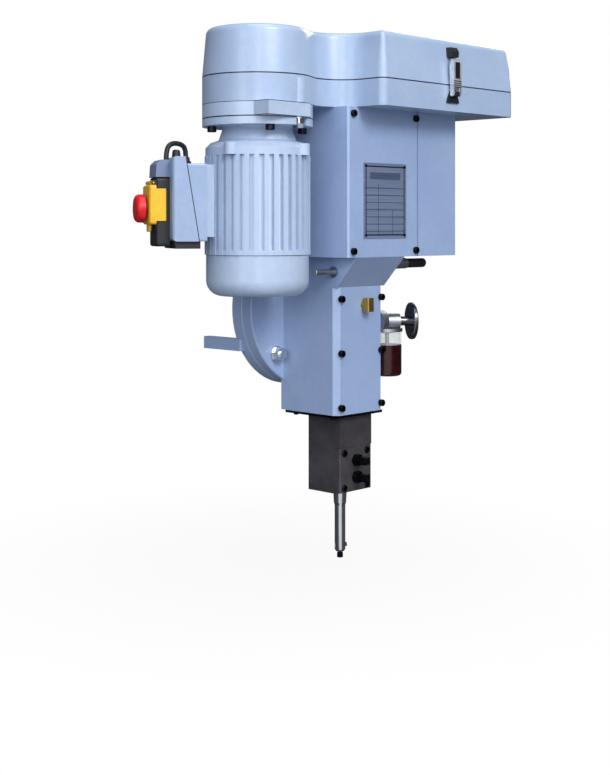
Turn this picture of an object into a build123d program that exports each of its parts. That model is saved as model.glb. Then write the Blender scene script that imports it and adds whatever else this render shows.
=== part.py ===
from build123d import *
from math import asin, cos, degrees, pi, radians, sin, sqrt, tan
import os

os.makedirs("parts", exist_ok=True)

# Frame: origin at the centre of the rear mounting face, +Y out of that face,
# the front of the head towards -Y and +Z up. All sizes are in millimetres.

# Clearances
slide_gap = 0.1
spin_gap = 0.05
seat_gap = 0.02
free_gap = 0.3

# Swivel joint at the rear
swivel_r = 120.0
base_t = 22.0
flange_t = 19.8
face_gap = 0.2
register_r = 35.0
register_h = 8.0
bolt_angles = (38.0, 142.0, 225.0, 315.0)
bolt_hole_r = 6.6
nut_h = 10.0
washer_t = 2.5
washer_r = 12.0
nut_r = 10.6
t_slot_r = 97.0
t_neck_w = 13.0
t_neck_depth = 7.0
t_head_w = 21.0
t_head_depth = 8.2
t_bolt_r = 6.0
t_bolt_flats = 19.0
mount_pcd = 130.0
mount_hole_r = 5.1
mount_hole_depth = 16.0
mount_hole_count = 4
arm_x = -112.0
arm_t = 14.0
arm_top = -46.0
arm_h = 18.0
arm_reach = 72.0

# Ram housing
ram_house_w = 105.0
ram_house_front = 150.0
ram_house_bottom = -153.0
ram_house_top = 77.0
front_plate_t = 10.0
front_plate_top = 33.0
corner_chamfer = 8.0
slope_out = 40.0
slope_wall = 9.0
rod_well_wall = 6.5
rod_well_w = ram_house_w - 2 * rod_well_wall
rod_well_bottom = 20.0

# Ram and its drive
ram_w = 70.0
ram_front = 140.0
ram_back = 77.0
ram_top = 72.0
ram_bottom = -270.0
ram_up = 45.0
stroke = 100.0
crank_z = 190.0
rod_length = 155.0
rod_t = 13.5
rod_big_r = 13.5
rod_small_r = 14.0
rod_web_w = 18.0
wrist_r = 8.0
crank_pin_r = 8.0
crank_disc_r = 60.0
crank_disc_t = 12.0
crank_block_t = 7.5
wheel_r = 58.0
wheel_w = 24.0
wheel_teeth = 30
wheel_tooth_h = 4.5
wheel_back = 76.0
worm_r = 17.0
worm_length = 62.0
worm_pitch = 12.0
shaft_r = 15.0
bearing_r = 27.5
bearing_w = 13.0

# Gear housing
gear_left = -72.0
gear_right = 177.0
gear_front = 190.0
boss_back = 20.0
crank_boss_r = 38.0
gear_top = 292.0
gear_wall = 8.0
gear_plate_right = 84.0
gear_plate_t = 8.0

# Worm shaft
worm_shaft_r = 12.5
worm_bearing_r = 23.5
worm_bearing_w = 14.0

# Belt drive
belt_house_h = 38.6
belt_cover_h = 68.0
belt_wall = 5.0
belt_right = 262.0
belt_front = 238.0
belt_left_side = -52.0
round_end_r = 78.0
waist_angle = 65.0
waist_r = 42.0
cover_draft = 5.0
cover_end_slant = 16.0
cover_edge_r = 9.0
corner_r = 11.0
split_gap = 0.4
pulley_steps = (24.0, 29.0, 34.0, 39.0)
driven_sum = 72.0
step_h = 16.0
pulley_base_z = 303.0
belt_w = 11.0
belt_h = 8.0

# Motor
motor_x = -163.0
motor_y = -100.0
motor_r = 74.5
fin_root_r = 67.0
fin_count = 34
fin_t = 7.0
frame_bottom = 82.0
frame_top = 220.0
shoulder_top = 240.0
ring_bottom = 261.0
ring_t = 11.0
ring_r = 78.0
neck_low_r = 55.0
neck_high_r = 49.5
fan_cover_bottom = 24.0
fan_cover_wall = 2.0
stator_inner_r = 42.0
motor_shaft_r = 9.5
motor_bearing_r = 20.0

# Motor plate and its clamp
ring_screw_angle = 151.0
plate_t = 20.0
lug_left = -221.0
lug_right = -140.0
lug_front = 181.0
lug_back = 120.0
clamp_bolt_x = -154.0
clamp_bolt_y = -171.0
clamp_boss_r = 11.0
clamp_hole_depth = 28.0

# Terminal box and switch, measured outwards from the motor axis
box_angle = 151.0
box_w = 90.0
box_bottom = 101.0
box_top = 216.5
box_step = 9.5
box_out = 130.5
box_lid_top_t = 18.0
box_lid_bottom_t = 36.8

# Screws
m8_head_r = 6.5
m8_head_h = 8.0
m8_r = 4.0
m6_head_r = 5.0
m6_head_h = 6.0
m6_r = 3.0
screw_inset = 8.5
cover_screw_x = ram_house_w / 2 - screw_inset
cover_screw_z = (16.0, -63.0, -142.0)
gear_screw_x = (-62.0, 77.0)
gear_screw_z = (86.0, 282.0)

# Tool clamp and tool
clamp_top = -203.0
clamp_t = 14.0
shank_r = 12.0
shank_y = 108.5
bar_r = 8.0
bar_bottom = -363.0
clamp_screw_x = 24.7
clamp_screw_z = (-211.0, -262.0)
set_bolt_z = (-223.0, -248.0)

# Derived places
flange_front = base_t + face_gap + flange_t
gear_back = flange_front
belt_back = -(motor_y + round_end_r)
crank_r = stroke / 2
wheel_mid_y = -(wheel_back + wheel_w / 2)
worm_x = wheel_r + wheel_tooth_h / 2 + worm_r + free_gap + 0.2
worm_y = wheel_mid_y
split_z = gear_top + belt_house_h
rod_front = ram_front - slide_gap - 0.9
rod_back = rod_front - rod_t
crank_reach = rod_length - crank_r + ram_up
crank_cos = (rod_length**2 - crank_r**2 - crank_reach**2) / (2 * crank_r * crank_reach)
wrist_z = crank_z + crank_r - rod_length - ram_up
pin_z = crank_z + crank_r * crank_cos
pin_x = crank_r * sqrt(1 - crank_cos ** 2)
rod_angle = degrees(asin(pin_x / rod_length))
disc_front = rod_back - 0.5 - crank_block_t
disc_back = disc_front - crank_disc_t


def facing_front(y, x=0, z=0):
    """Plane at -y that looks towards the front, local x along +X and local y up."""
    return Plane(origin=(x, -y, z), x_dir=(1, 0, 0), z_dir=(0, -1, 0))


def facing_back(y, x=0, z=0):
    """Plane at -y that looks towards the back, local x along -X and local y up."""
    return Plane(origin=(x, -y, z), x_dir=(-1, 0, 0), z_dir=(0, 1, 0))


def facing_right(x):
    """Plane at x that looks towards +X, local x along +Y and local y up."""
    return Plane(origin=(x, 0, 0), x_dir=(0, 1, 0), z_dir=(1, 0, 0))


def write_piece(piece, name):
    """Label a finished piece and write it under its own name."""
    piece.part.label = name
    export_step(piece.part, f"parts/{name}.step")


def cap_screw(plane, head_r, head_h, screw_r, length):
    """Socket head cap screw, head standing out along the plane's normal."""
    with BuildPart() as screw:
        with BuildSketch(plane):
            Circle(head_r)
        extrude(amount=head_h)
        chamfer(screw.faces().sort_by(Axis(plane.origin, plane.z_dir))[-1].edges(), head_r * 0.12)
        with BuildSketch(plane):
            Circle(screw_r)
        extrude(amount=-length)
        with BuildSketch(plane.offset(head_h)):
            RegularPolygon(head_r * 0.55, 6)
        extrude(amount=-head_h * 0.6, mode=Mode.SUBTRACT)
    return screw.part


# Fixed base that bolts to the machine, with a round T-slot for the clamp bolts
with BuildPart() as swivel_base:
    with BuildSketch(facing_front(0)):
        Circle(swivel_r)
    extrude(amount=base_t)
    chamfer(swivel_base.edges().filter_by(GeomType.CIRCLE), 1.5)
    with BuildSketch(facing_front(base_t)):
        Circle(t_slot_r + t_neck_w / 2)
        Circle(t_slot_r - t_neck_w / 2, mode=Mode.SUBTRACT)
    extrude(amount=-t_neck_depth, mode=Mode.SUBTRACT)
    with BuildSketch(facing_front(base_t - t_neck_depth)):
        Circle(t_slot_r + t_head_w / 2)
        Circle(t_slot_r - t_head_w / 2, mode=Mode.SUBTRACT)
    extrude(amount=-t_head_depth, mode=Mode.SUBTRACT)
    with BuildSketch(facing_front(base_t)):
        with Locations((0, t_slot_r)):
            Circle(t_head_w / 2)
    extrude(amount=-(t_neck_depth + t_head_depth), mode=Mode.SUBTRACT)
    with BuildSketch(facing_front(base_t)):
        Circle(register_r)
    extrude(amount=-(register_h + 1), mode=Mode.SUBTRACT)
    with BuildSketch(facing_front(0)):
        with PolarLocations(mount_pcd / 2, mount_hole_count, start_angle=45):
            Circle(mount_hole_r)
    extrude(amount=mount_hole_depth, mode=Mode.SUBTRACT)
    with BuildSketch(Plane.XY.offset(arm_top)):
        with Locations((arm_x + arm_t / 2, (arm_reach - base_t / 2) / 2)):
            RectangleRounded(arm_t, arm_reach + base_t / 2, 3)
    extrude(amount=-arm_h)
write_piece(swivel_base, "swivel_base")


def at_bolts(plane):
    """Locations of the swivel clamp bolts on a plane that faces the front."""
    places = []
    for a in bolt_angles:
        places.append(plane * Pos(t_slot_r * cos(radians(a)), t_slot_r * sin(radians(a))) * Rot(0, 0, a))
    return places


# Clamp bolts whose square heads slide in the T-slot, with their washers and nuts
with BuildPart() as swivel_bolts:
    head_back = base_t - t_neck_depth - face_gap
    bolt_end = flange_front + washer_t + nut_h + 3
    for place in at_bolts(facing_front(head_back)):
        with BuildSketch(Plane(place)):
            Rectangle(t_bolt_flats, t_bolt_flats)
        extrude(amount=-(t_head_depth - 1))
        with BuildSketch(Plane(place)):
            Circle(t_bolt_r)
        extrude(amount=bolt_end - head_back)
    for place in at_bolts(facing_front(flange_front)):
        with BuildSketch(Plane(place)):
            Circle(washer_r)
            Circle(t_bolt_r + seat_gap, mode=Mode.SUBTRACT)
        extrude(amount=washer_t)
        with BuildSketch(Plane(place).offset(washer_t + seat_gap)):
            RegularPolygon(nut_r, 6)
            Circle(t_bolt_r + seat_gap, mode=Mode.SUBTRACT)
        extrude(amount=nut_h)
write_piece(swivel_bolts, "swivel_bolts")

# Ram housing, one casting with the swivel flange and the slope to the gear housing
with BuildPart() as ram_housing:
    with BuildSketch(facing_front(base_t + face_gap)):
        Circle(swivel_r)
    extrude(amount=flange_t)
    chamfer(ram_housing.edges().filter_by(GeomType.CIRCLE), 1.5)
    with BuildSketch(facing_front(base_t + face_gap)):
        Circle(register_r - spin_gap)
    extrude(amount=-register_h)
    with BuildSketch(Plane.XY.offset(ram_house_bottom)):
        with Locations((0, -(flange_front - 5 + ram_front) / 2)):
            Rectangle(ram_house_w, ram_front - flange_front + 5)
    extrude(amount=ram_house_top - ram_house_bottom)
    with BuildSketch(facing_right(-ram_house_w / 2)):
        with BuildLine():
            Polyline(
                (-ram_front + 1, front_plate_top),
                (-ram_house_front, front_plate_top),
                (-ram_house_front - slope_out, ram_house_top),
                (-ram_front + 1, ram_house_top),
                close=True,
            )
        make_face()
    extrude(amount=ram_house_w)
    guide_w = ram_w + 2 * slide_gap
    guide_back = ram_back - slide_gap
    with BuildSketch(Plane.XY.offset(ram_house_bottom)):
        with Locations((0, -(guide_back + ram_front) / 2)):
            Rectangle(guide_w, ram_front - guide_back)
    extrude(amount=ram_house_top - ram_house_bottom, mode=Mode.SUBTRACT)
    slope_tilt = (ram_house_top - front_plate_top) / slope_out
    wall_shift = slope_wall * sqrt(1 + 1 / slope_tilt**2)
    well_front_top = ram_house_front + slope_out - wall_shift
    well_front_low = ram_house_front + (front_plate_top + 4 - front_plate_top) / slope_tilt - wall_shift
    with BuildSketch(facing_right(-rod_well_w / 2)):
        with BuildLine():
            Polyline(
                (-guide_back, rod_well_bottom),
                (-ram_front, rod_well_bottom),
                (-ram_front, front_plate_top + 4),
                (-well_front_low, front_plate_top + 4),
                (-well_front_top, ram_house_top),
                (-guide_back, ram_house_top),
                close=True,
            )
        make_face()
    extrude(amount=rod_well_w, mode=Mode.SUBTRACT)
    with BuildSketch(facing_front(ram_front)):
        with Locations([(x, z) for x in (-cover_screw_x, cover_screw_x) for z in cover_screw_z]):
            Circle(m6_r + seat_gap)
    extrude(amount=-16, mode=Mode.SUBTRACT)
    with BuildSketch([Plane(p) for p in at_bolts(facing_front(flange_front))]):
        Circle(bolt_hole_r)
    extrude(amount=-flange_t, mode=Mode.SUBTRACT)
write_piece(ram_housing, "ram_housing")

# Plate that closes the front of the ram housing
with BuildPart() as ram_front_plate:
    with BuildSketch(Plane.XY.offset(ram_house_bottom)):
        with BuildLine():
            Polyline(
                (-ram_house_w / 2, -ram_front),
                (-ram_house_w / 2, -ram_house_front + corner_chamfer),
                (-ram_house_w / 2 + corner_chamfer, -ram_house_front),
                (ram_house_w / 2 - corner_chamfer, -ram_house_front),
                (ram_house_w / 2, -ram_house_front + corner_chamfer),
                (ram_house_w / 2, -ram_front),
                close=True,
            )
        make_face()
    extrude(amount=front_plate_top - ram_house_bottom)
    with BuildSketch(facing_front(ram_house_front)):
        with Locations([(x, z) for x in (-cover_screw_x, cover_screw_x) for z in cover_screw_z]):
            Circle(m6_r + seat_gap)
    extrude(amount=-front_plate_t, mode=Mode.SUBTRACT)
write_piece(ram_front_plate, "ram_front_plate")

# Ram with the slot for the connecting rod, the tool bore and the seat of the clamp plate
slot_w = 44.0
slot_bottom = wrist_z - rod_small_r - 4
slot_back = rod_back - free_gap
shank_h = 62.0
with BuildPart() as ram:
    with BuildSketch(Plane.XY.offset(ram_bottom)):
        with Locations((0, -(ram_front - slide_gap + ram_back) / 2)):
            Rectangle(ram_w, ram_front - slide_gap - ram_back)
    extrude(amount=ram_top - ram_bottom)
    with BuildSketch(facing_front(ram_front)):
        with Locations((0, (slot_bottom + ram_top) / 2)):
            Rectangle(slot_w, ram_top - slot_bottom)
    extrude(amount=-(ram_front - slot_back), mode=Mode.SUBTRACT)
    with BuildSketch(facing_front(slot_back)):
        with Locations((0, wrist_z)):
            Circle(wrist_r)
    extrude(amount=-28, mode=Mode.SUBTRACT)
    with BuildSketch(Plane.XY.offset(ram_bottom)):
        with Locations((0, -shank_y)):
            Circle(shank_r + seat_gap)
    extrude(amount=shank_h + 1, mode=Mode.SUBTRACT)
    with BuildSketch(facing_front(ram_front)):
        with Locations((0, (clamp_top + ram_bottom) / 2)):
            Rectangle(ram_w, clamp_top - ram_bottom)
    extrude(amount=-clamp_t, mode=Mode.SUBTRACT)
    with BuildSketch(facing_front(ram_front - clamp_t)):
        with Locations([(x, z) for x in (-clamp_screw_x, clamp_screw_x) for z in clamp_screw_z]):
            Circle(m6_r + seat_gap)
        with Locations([(0, z) for z in set_bolt_z]):
            Circle(5.1)
    extrude(amount=-14, mode=Mode.SUBTRACT)
write_piece(ram, "ram")

with BuildPart() as wrist_pin:
    with BuildSketch(facing_front(slot_back - 28)):
        with Locations((0, wrist_z)):
            Circle(wrist_r - seat_gap)
    extrude(amount=rod_front - 0.5 - slot_back + 28)
write_piece(wrist_pin, "wrist_pin")

# Connecting rod, leaning towards the crank pin
with BuildPart() as connecting_rod:
    rod_across = (cos(radians(rod_angle)), 0, -sin(radians(rod_angle)))
    lean = Plane(origin=(0, -rod_back, wrist_z), x_dir=rod_across, z_dir=(0, -1, 0))
    with BuildSketch(lean):
        Circle(rod_small_r)
        with Locations((0, rod_length)):
            Circle(rod_big_r)
        with Locations((0, rod_length / 2)):
            Rectangle(rod_web_w, rod_length)
    extrude(amount=rod_t)
    with BuildSketch(lean):
        Circle(wrist_r + spin_gap)
        with Locations((0, rod_length)):
            Circle(crank_pin_r + spin_gap)
    extrude(amount=rod_t, mode=Mode.SUBTRACT)
    for side in (lean, lean.offset(rod_t)):
        with BuildSketch(side):
            with Locations((0, rod_length / 2)):
                SlotCenterToCenter(rod_length * 0.55, rod_web_w - 8, rotation=90)
        extrude(amount=3, both=True, mode=Mode.SUBTRACT)
write_piece(connecting_rod, "connecting_rod")

# Clamp plate across the foot of the ram
with BuildPart() as clamp_plate:
    with BuildSketch(facing_front(ram_front - clamp_t)):
        with Locations((0, (clamp_top + ram_bottom) / 2 + 0.5)):
            Rectangle(ram_w - 1, clamp_top - ram_bottom - 1.4)
    extrude(amount=clamp_t - slide_gap)
    chamfer(clamp_plate.faces().sort_by(Axis.Y)[0].edges(), 1)
    with BuildSketch(facing_front(ram_front)):
        with Locations([(x, z) for x in (-clamp_screw_x, clamp_screw_x) for z in clamp_screw_z]):
            Circle(m6_r + seat_gap)
        with Locations([(0, z) for z in set_bolt_z]):
            Circle(5 + seat_gap)
    extrude(amount=-clamp_t, mode=Mode.SUBTRACT)
    with BuildSketch(facing_front(ram_front)):
        with Locations([(x, z) for x in (-clamp_screw_x, clamp_screw_x) for z in clamp_screw_z]):
            Circle(m6_head_r + 0.4)
    extrude(amount=-4, mode=Mode.SUBTRACT)
write_piece(clamp_plate, "clamp_plate")

with BuildPart() as clamp_screws:
    for x in (-clamp_screw_x, clamp_screw_x):
        for z in clamp_screw_z:
            add(cap_screw(facing_front(ram_front - 4, x, z), m6_head_r, m6_head_h, m6_r, 22))
write_piece(clamp_screws, "clamp_screws")

# Set bolts that press on the tool shank, with their lock nuts
with BuildPart() as set_bolts:
    for z in set_bolt_z:
        with BuildSketch(facing_front(shank_y + shank_r + seat_gap)):
            with Locations((0, z)):
                Circle(5)
        extrude(amount=ram_front + 14 - shank_y - shank_r)
        with BuildSketch(facing_front(ram_front + 13)):
            with Locations((0, z)):
                Rectangle(11, 11)
        extrude(amount=10)
        with BuildSketch(facing_front(ram_front)):
            with Locations((0, z)):
                RegularPolygon(9.2, 6)
                Circle(5 + seat_gap, mode=Mode.SUBTRACT)
        extrude(amount=8)
write_piece(set_bolts, "set_bolts")

# Tool bar: shank in the ram, collar, polished bar and chamfered end
bit_z = bar_bottom + 9
with BuildPart() as tool_bar:
    with BuildSketch(Plane.XZ.offset(shank_y)):
        with BuildLine():
            Polyline(
                (0, ram_bottom + shank_h),
                (shank_r - 1, ram_bottom + shank_h),
                (shank_r, ram_bottom + shank_h - 1),
                (shank_r, ram_bottom - 1),
                (bar_r + 2.2, ram_bottom - 3),
                (bar_r + 1.2, ram_bottom - 20),
                (bar_r, ram_bottom - 24),
                (bar_r, bar_bottom + 3),
                (bar_r - 2.4, bar_bottom),
                (0, bar_bottom),
                close=True,
            )
        make_face()
    revolve(axis=Axis((0, -shank_y, 0), (0, 0, 1)))
    with BuildSketch(facing_right(-12)):
        with Locations((-shank_y, bit_z)):
            Rectangle(6.1, 6.1)
    extrude(amount=24, mode=Mode.SUBTRACT)
    with BuildSketch(Plane.XY.offset(bar_bottom)):
        with Locations((0, -shank_y)):
            Circle(2.6)
    extrude(amount=5.95, mode=Mode.SUBTRACT)
write_piece(tool_bar, "tool_bar")

with BuildPart() as tool_bit:
    with BuildSketch(facing_front(shank_y - 3)):
        with BuildLine():
            Polyline(
                (-bar_r + 1, bit_z - 3),
                (-bar_r + 1, bit_z + 3),
                (bar_r + 3.4, bit_z + 3),
                (bar_r + 4.8, bit_z - 2.6),
                (bar_r + 4.4, bit_z - 3),
                close=True,
            )
        make_face()
    extrude(amount=6)
write_piece(tool_bit, "tool_bit")

with BuildPart() as bit_screw:
    with BuildSketch(Plane.XY.offset(bar_bottom + 5.9)):
        with Locations((0, -shank_y)):
            Circle(2.5)
    extrude(amount=-8)
    with BuildSketch(Plane.XY.offset(bar_bottom - 2)):
        with Locations((0, -shank_y)):
            RegularPolygon(4.6, 6)
    extrude(amount=-7)
write_piece(bit_screw, "bit_screw")

# Wiper under the ram housing
wiper_t = 4.0
wiper_inset = 2.0
wiper_screw_x = (-cover_screw_x, cover_screw_x)
wiper_screw_y = (60.0, 134.0)
with BuildPart() as way_wiper:
    with BuildSketch(Plane.XY.offset(ram_house_bottom)):
        with Locations((0, -(flange_front + ram_house_front) / 2)):
            Rectangle(ram_house_w - 2 * wiper_inset, ram_house_front - flange_front - 2 * wiper_inset)
        with Locations((0, -(ram_front + ram_back) / 2)):
            Rectangle(ram_w + 2 * free_gap, ram_front - ram_back + 2 * free_gap, mode=Mode.SUBTRACT)
        with Locations([(x, -y) for x in wiper_screw_x for y in wiper_screw_y]):
            Circle(1.9 + seat_gap, mode=Mode.SUBTRACT)
    extrude(amount=-wiper_t)
write_piece(way_wiper, "way_wiper")

# Gear housing above, closed at the front by a plate and at the top by a wall
gear_low = ram_house_top
post_w = 16.0
with BuildPart() as gear_housing:
    with BuildSketch(Plane.XY.offset(gear_low)):
        with Locations(((gear_left + gear_right) / 2, -(gear_front + gear_back) / 2)):
            Rectangle(gear_right - gear_left, gear_front - gear_back)
    extrude(amount=gear_top - gear_low)
    chamfer(gear_housing.edges().filter_by(Axis.Z), 2.5)
    with BuildSketch(Plane.XY.offset(gear_low + gear_wall)):
        with Locations(((gear_left + gear_right) / 2, -(gear_front + gear_back) / 2)):
            Rectangle(gear_right - gear_left - 2 * gear_wall, gear_front - gear_back - 2 * gear_wall)
    extrude(amount=gear_top - gear_low - 2 * gear_wall, mode=Mode.SUBTRACT)
    # Seat of the front plate
    with BuildSketch(facing_front(gear_front)):
        with Locations(((gear_left + gear_plate_right) / 2, (gear_low + gear_top) / 2)):
            Rectangle(gear_plate_right - gear_left, gear_top - gear_low)
    extrude(amount=-gear_plate_t, mode=Mode.SUBTRACT)
    # Posts that carry the plate's screws
    with BuildSketch(Plane.XY.offset(gear_low + gear_wall)):
        for x in (gear_left + gear_wall + post_w / 2 - 2, gear_plate_right - 2):
            with Locations((x, -(gear_front - gear_plate_t - post_w / 2))):
                Rectangle(post_w, post_w)
    extrude(amount=gear_top - gear_low - 2 * gear_wall)
    with BuildSketch(facing_front(gear_front)):
        with Locations([(x, z) for x in gear_screw_x for z in gear_screw_z]):
            Circle(m6_r + seat_gap)
    extrude(amount=-24, mode=Mode.SUBTRACT)
    # Way through the floor for the rod and the ram
    with BuildSketch(Plane.XY.offset(gear_low)):
        with Locations((0, -(well_front_top + guide_back) / 2)):
            Rectangle(rod_well_w, well_front_top - guide_back)
    extrude(amount=gear_wall, mode=Mode.SUBTRACT)
    # Boss of the crankshaft bearings in the rear wall
    with BuildSketch(facing_back(wheel_back - 1, 0, crank_z)):
        Circle(crank_boss_r)
    extrude(amount=wheel_back - 1 - boss_back)
    with BuildSketch(facing_back(wheel_back - 1, 0, crank_z)):
        Circle(bearing_r + seat_gap)
    extrude(amount=wheel_back - 1 - boss_back, mode=Mode.SUBTRACT)
    # Seats of the worm shaft bearings in the floor and under the top wall
    with BuildSketch(Plane.XY.offset(gear_low + gear_wall)):
        with Locations((worm_x, worm_y)):
            Circle(worm_bearing_r + 6)
    extrude(amount=worm_bearing_w + 1)
    with BuildSketch(Plane.XY.offset(gear_low + gear_wall + 1)):
        with Locations((worm_x, worm_y)):
            Circle(worm_bearing_r + seat_gap)
    extrude(amount=worm_bearing_w, mode=Mode.SUBTRACT)
    with BuildSketch(Plane.XY.offset(gear_top - gear_wall)):
        with Locations((worm_x, worm_y)):
            Circle(worm_bearing_r + 6)
    extrude(amount=-(worm_bearing_w - gear_wall + 3))
    with BuildSketch(Plane.XY.offset(gear_top)):
        with Locations((worm_x, worm_y)):
            Circle(worm_bearing_r + seat_gap)
    extrude(amount=-worm_bearing_w, mode=Mode.SUBTRACT)
    with BuildSketch(Plane.XY.offset(gear_top)):
        with Locations((worm_x, worm_y)):
            Circle(worm_shaft_r + 2)
    extrude(amount=-30, mode=Mode.SUBTRACT)
write_piece(gear_housing, "gear_housing")

with BuildPart() as gear_front_plate:
    with BuildSketch(facing_front(gear_front - gear_plate_t)):
        with Locations(((gear_left + gear_plate_right) / 2, (gear_low + gear_top) / 2)):
            Rectangle(gear_plate_right - gear_left - 0.6, gear_top - gear_low)
    extrude(amount=gear_plate_t)
    chamfer(gear_front_plate.faces().sort_by(Axis.Y)[0].edges().filter_by(Axis.Z), 2.5)
    with BuildSketch(facing_front(gear_front)):
        with Locations([(x, z) for x in gear_screw_x for z in gear_screw_z]):
            Circle(m6_r + seat_gap)
    extrude(amount=-gear_plate_t, mode=Mode.SUBTRACT)
write_piece(gear_front_plate, "gear_front_plate")

# Screws of both front plates
with BuildPart() as plate_screws:
    for x in (-cover_screw_x, cover_screw_x):
        for z in cover_screw_z:
            add(cap_screw(facing_front(ram_house_front, x, z), m6_head_r, m6_head_h, m6_r, 22))
    for x in gear_screw_x:
        for z in gear_screw_z:
            add(cap_screw(facing_front(gear_front, x, z), m6_head_r, m6_head_h - 1, m6_r, 20))
write_piece(plate_screws, "plate_screws")

# Blank rating plate
cap_t = 6.0
cap_screw_r = 32.5
label_left = -40.0
label_right = 55.0
label_low = 104.0
label_top = 213.0
label_t = 1.0
with BuildPart() as rating_plate:
    with BuildSketch(facing_front(gear_front, (label_left + label_right) / 2, (label_low + label_top) / 2)):
        RectangleRounded(label_right - label_left, label_top - label_low, 2)
    extrude(amount=label_t)
write_piece(rating_plate, "rating_plate")

# Screws of the bearing cap and the wiper, rivets of the rating plate
with BuildPart() as small_screws:
    label_mid = (label_left + label_right) / 2
    with BuildSketch(facing_front(gear_front + label_t, label_mid, (label_low + label_top) / 2)):
        with GridLocations(label_right - label_left - 9, label_top - label_low - 9, 2, 2):
            Circle(2)
    extrude(amount=1)
    for x in wiper_screw_x:
        for y in wiper_screw_y:
            plane = Plane(origin=(x, -y, ram_house_bottom - wiper_t), x_dir=(1, 0, 0), z_dir=(0, 0, -1))
            add(cap_screw(plane, 3.5, 2.6, 1.9, wiper_t))
    for angle in range(45, 360, 90):
        x = cap_screw_r * cos(radians(angle))
        z = crank_z + cap_screw_r * sin(radians(angle))
        add(cap_screw(facing_back(boss_back - cap_t, x, z), 3.6, 3, 1.9, cap_t))
write_piece(small_screws, "small_screws")

# Bearings: plain rings with a shield groove on each face
def ring_bearing(plane, outer_r, inner_r, width):
    """Ball bearing as one shielded ring on a plane, width along its normal."""
    with BuildPart() as ring:
        with BuildSketch(plane):
            Circle(outer_r)
            Circle(inner_r, mode=Mode.SUBTRACT)
        extrude(amount=width)
        wall = (outer_r - inner_r) / 4
        for face in (plane, plane.offset(width)):
            with BuildSketch(face):
                Circle(outer_r - wall)
                Circle(inner_r + wall, mode=Mode.SUBTRACT)
            extrude(amount=0.6, both=True, mode=Mode.SUBTRACT)
    return ring.part


with BuildPart() as bearing_cap:
    with BuildSketch(facing_back(boss_back, 0, crank_z)):
        Circle(crank_boss_r)
    extrude(amount=cap_t)
    chamfer(bearing_cap.edges().filter_by(GeomType.CIRCLE).sort_by(Axis.Y)[-1], 1.5)
    with BuildSketch(facing_back(boss_back, 0, crank_z)):
        Circle(shaft_r + 1)
    extrude(amount=2, mode=Mode.SUBTRACT)
    with BuildSketch(facing_back(boss_back, 0, crank_z)):
        with PolarLocations(cap_screw_r, 4, start_angle=45):
            Circle(1.9 + seat_gap)
    extrude(amount=cap_t, mode=Mode.SUBTRACT)
write_piece(bearing_cap, "bearing_cap")

# Crankshaft with its disc, T-slot block and pin; the pin stops short of the rod
with BuildPart() as crankshaft:
    with BuildSketch(facing_front(boss_back + 0.5, 0, crank_z)):
        Circle(shaft_r)
    extrude(amount=disc_back - boss_back - 0.5)
    with BuildSketch(facing_front(wheel_back + wheel_w, 0, crank_z)):
        Circle(22)
    extrude(amount=disc_back - wheel_back - wheel_w)
    with BuildSketch(facing_front(disc_back, 0, crank_z)):
        Circle(crank_disc_r)
    extrude(amount=crank_disc_t)
    crank_turn = degrees(asin((pin_z - crank_z) / crank_r))
    slot_plane = Plane(facing_front(disc_front, 0, crank_z).location * Rot(0, 0, crank_turn))
    with BuildSketch(slot_plane):
        with Locations((crank_disc_r / 2, 0)):
            Rectangle(crank_disc_r, 12)
    extrude(amount=-6, mode=Mode.SUBTRACT)
    with BuildSketch(slot_plane.offset(-6)):
        with Locations((crank_disc_r / 2, 0)):
            Rectangle(crank_disc_r, 20)
    extrude(amount=-4, mode=Mode.SUBTRACT)
write_piece(crankshaft, "crankshaft")

with BuildPart() as crank_pin:
    with BuildSketch(slot_plane.offset(-9.8)):
        with Locations((crank_r, 0)):
            Rectangle(18, 19.6)
    extrude(amount=3.6)
    with BuildSketch(slot_plane.offset(-6.2)):
        with Locations((crank_r, 0)):
            Rectangle(18, 11.8)
    extrude(amount=6.2)
    with BuildSketch(slot_plane):
        with Locations((crank_r, 0)):
            Rectangle(18, 24)
    extrude(amount=4)
    with BuildSketch(slot_plane):
        with Locations((crank_r, 0)):
            Circle(crank_pin_r)
    extrude(amount=crank_block_t)
write_piece(crank_pin, "crank_pin")

# Worm wheel, keyed to the crankshaft
with BuildPart() as worm_wheel:
    with BuildSketch(facing_front(wheel_back, 0, crank_z)):
        Circle(wheel_r + wheel_tooth_h / 2)
        Circle(shaft_r + seat_gap, mode=Mode.SUBTRACT)
    extrude(amount=wheel_w)
    with BuildSketch(facing_front(wheel_back, 0, crank_z)):
        with PolarLocations(wheel_r + wheel_tooth_h / 2, wheel_teeth, start_angle=180 / wheel_teeth):
            Trapezoid(wheel_tooth_h * 2.2, wheel_tooth_h * 1.2, 100, rotation=90)
    extrude(amount=wheel_w, mode=Mode.SUBTRACT)
    for face in (facing_front(wheel_back, 0, crank_z), facing_front(wheel_back + wheel_w, 0, crank_z)):
        with BuildSketch(face):
            Circle(wheel_r - 9)
            Circle(shaft_r + 10, mode=Mode.SUBTRACT)
        extrude(amount=6, both=True, mode=Mode.SUBTRACT)
write_piece(worm_wheel, "worm_wheel")

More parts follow.
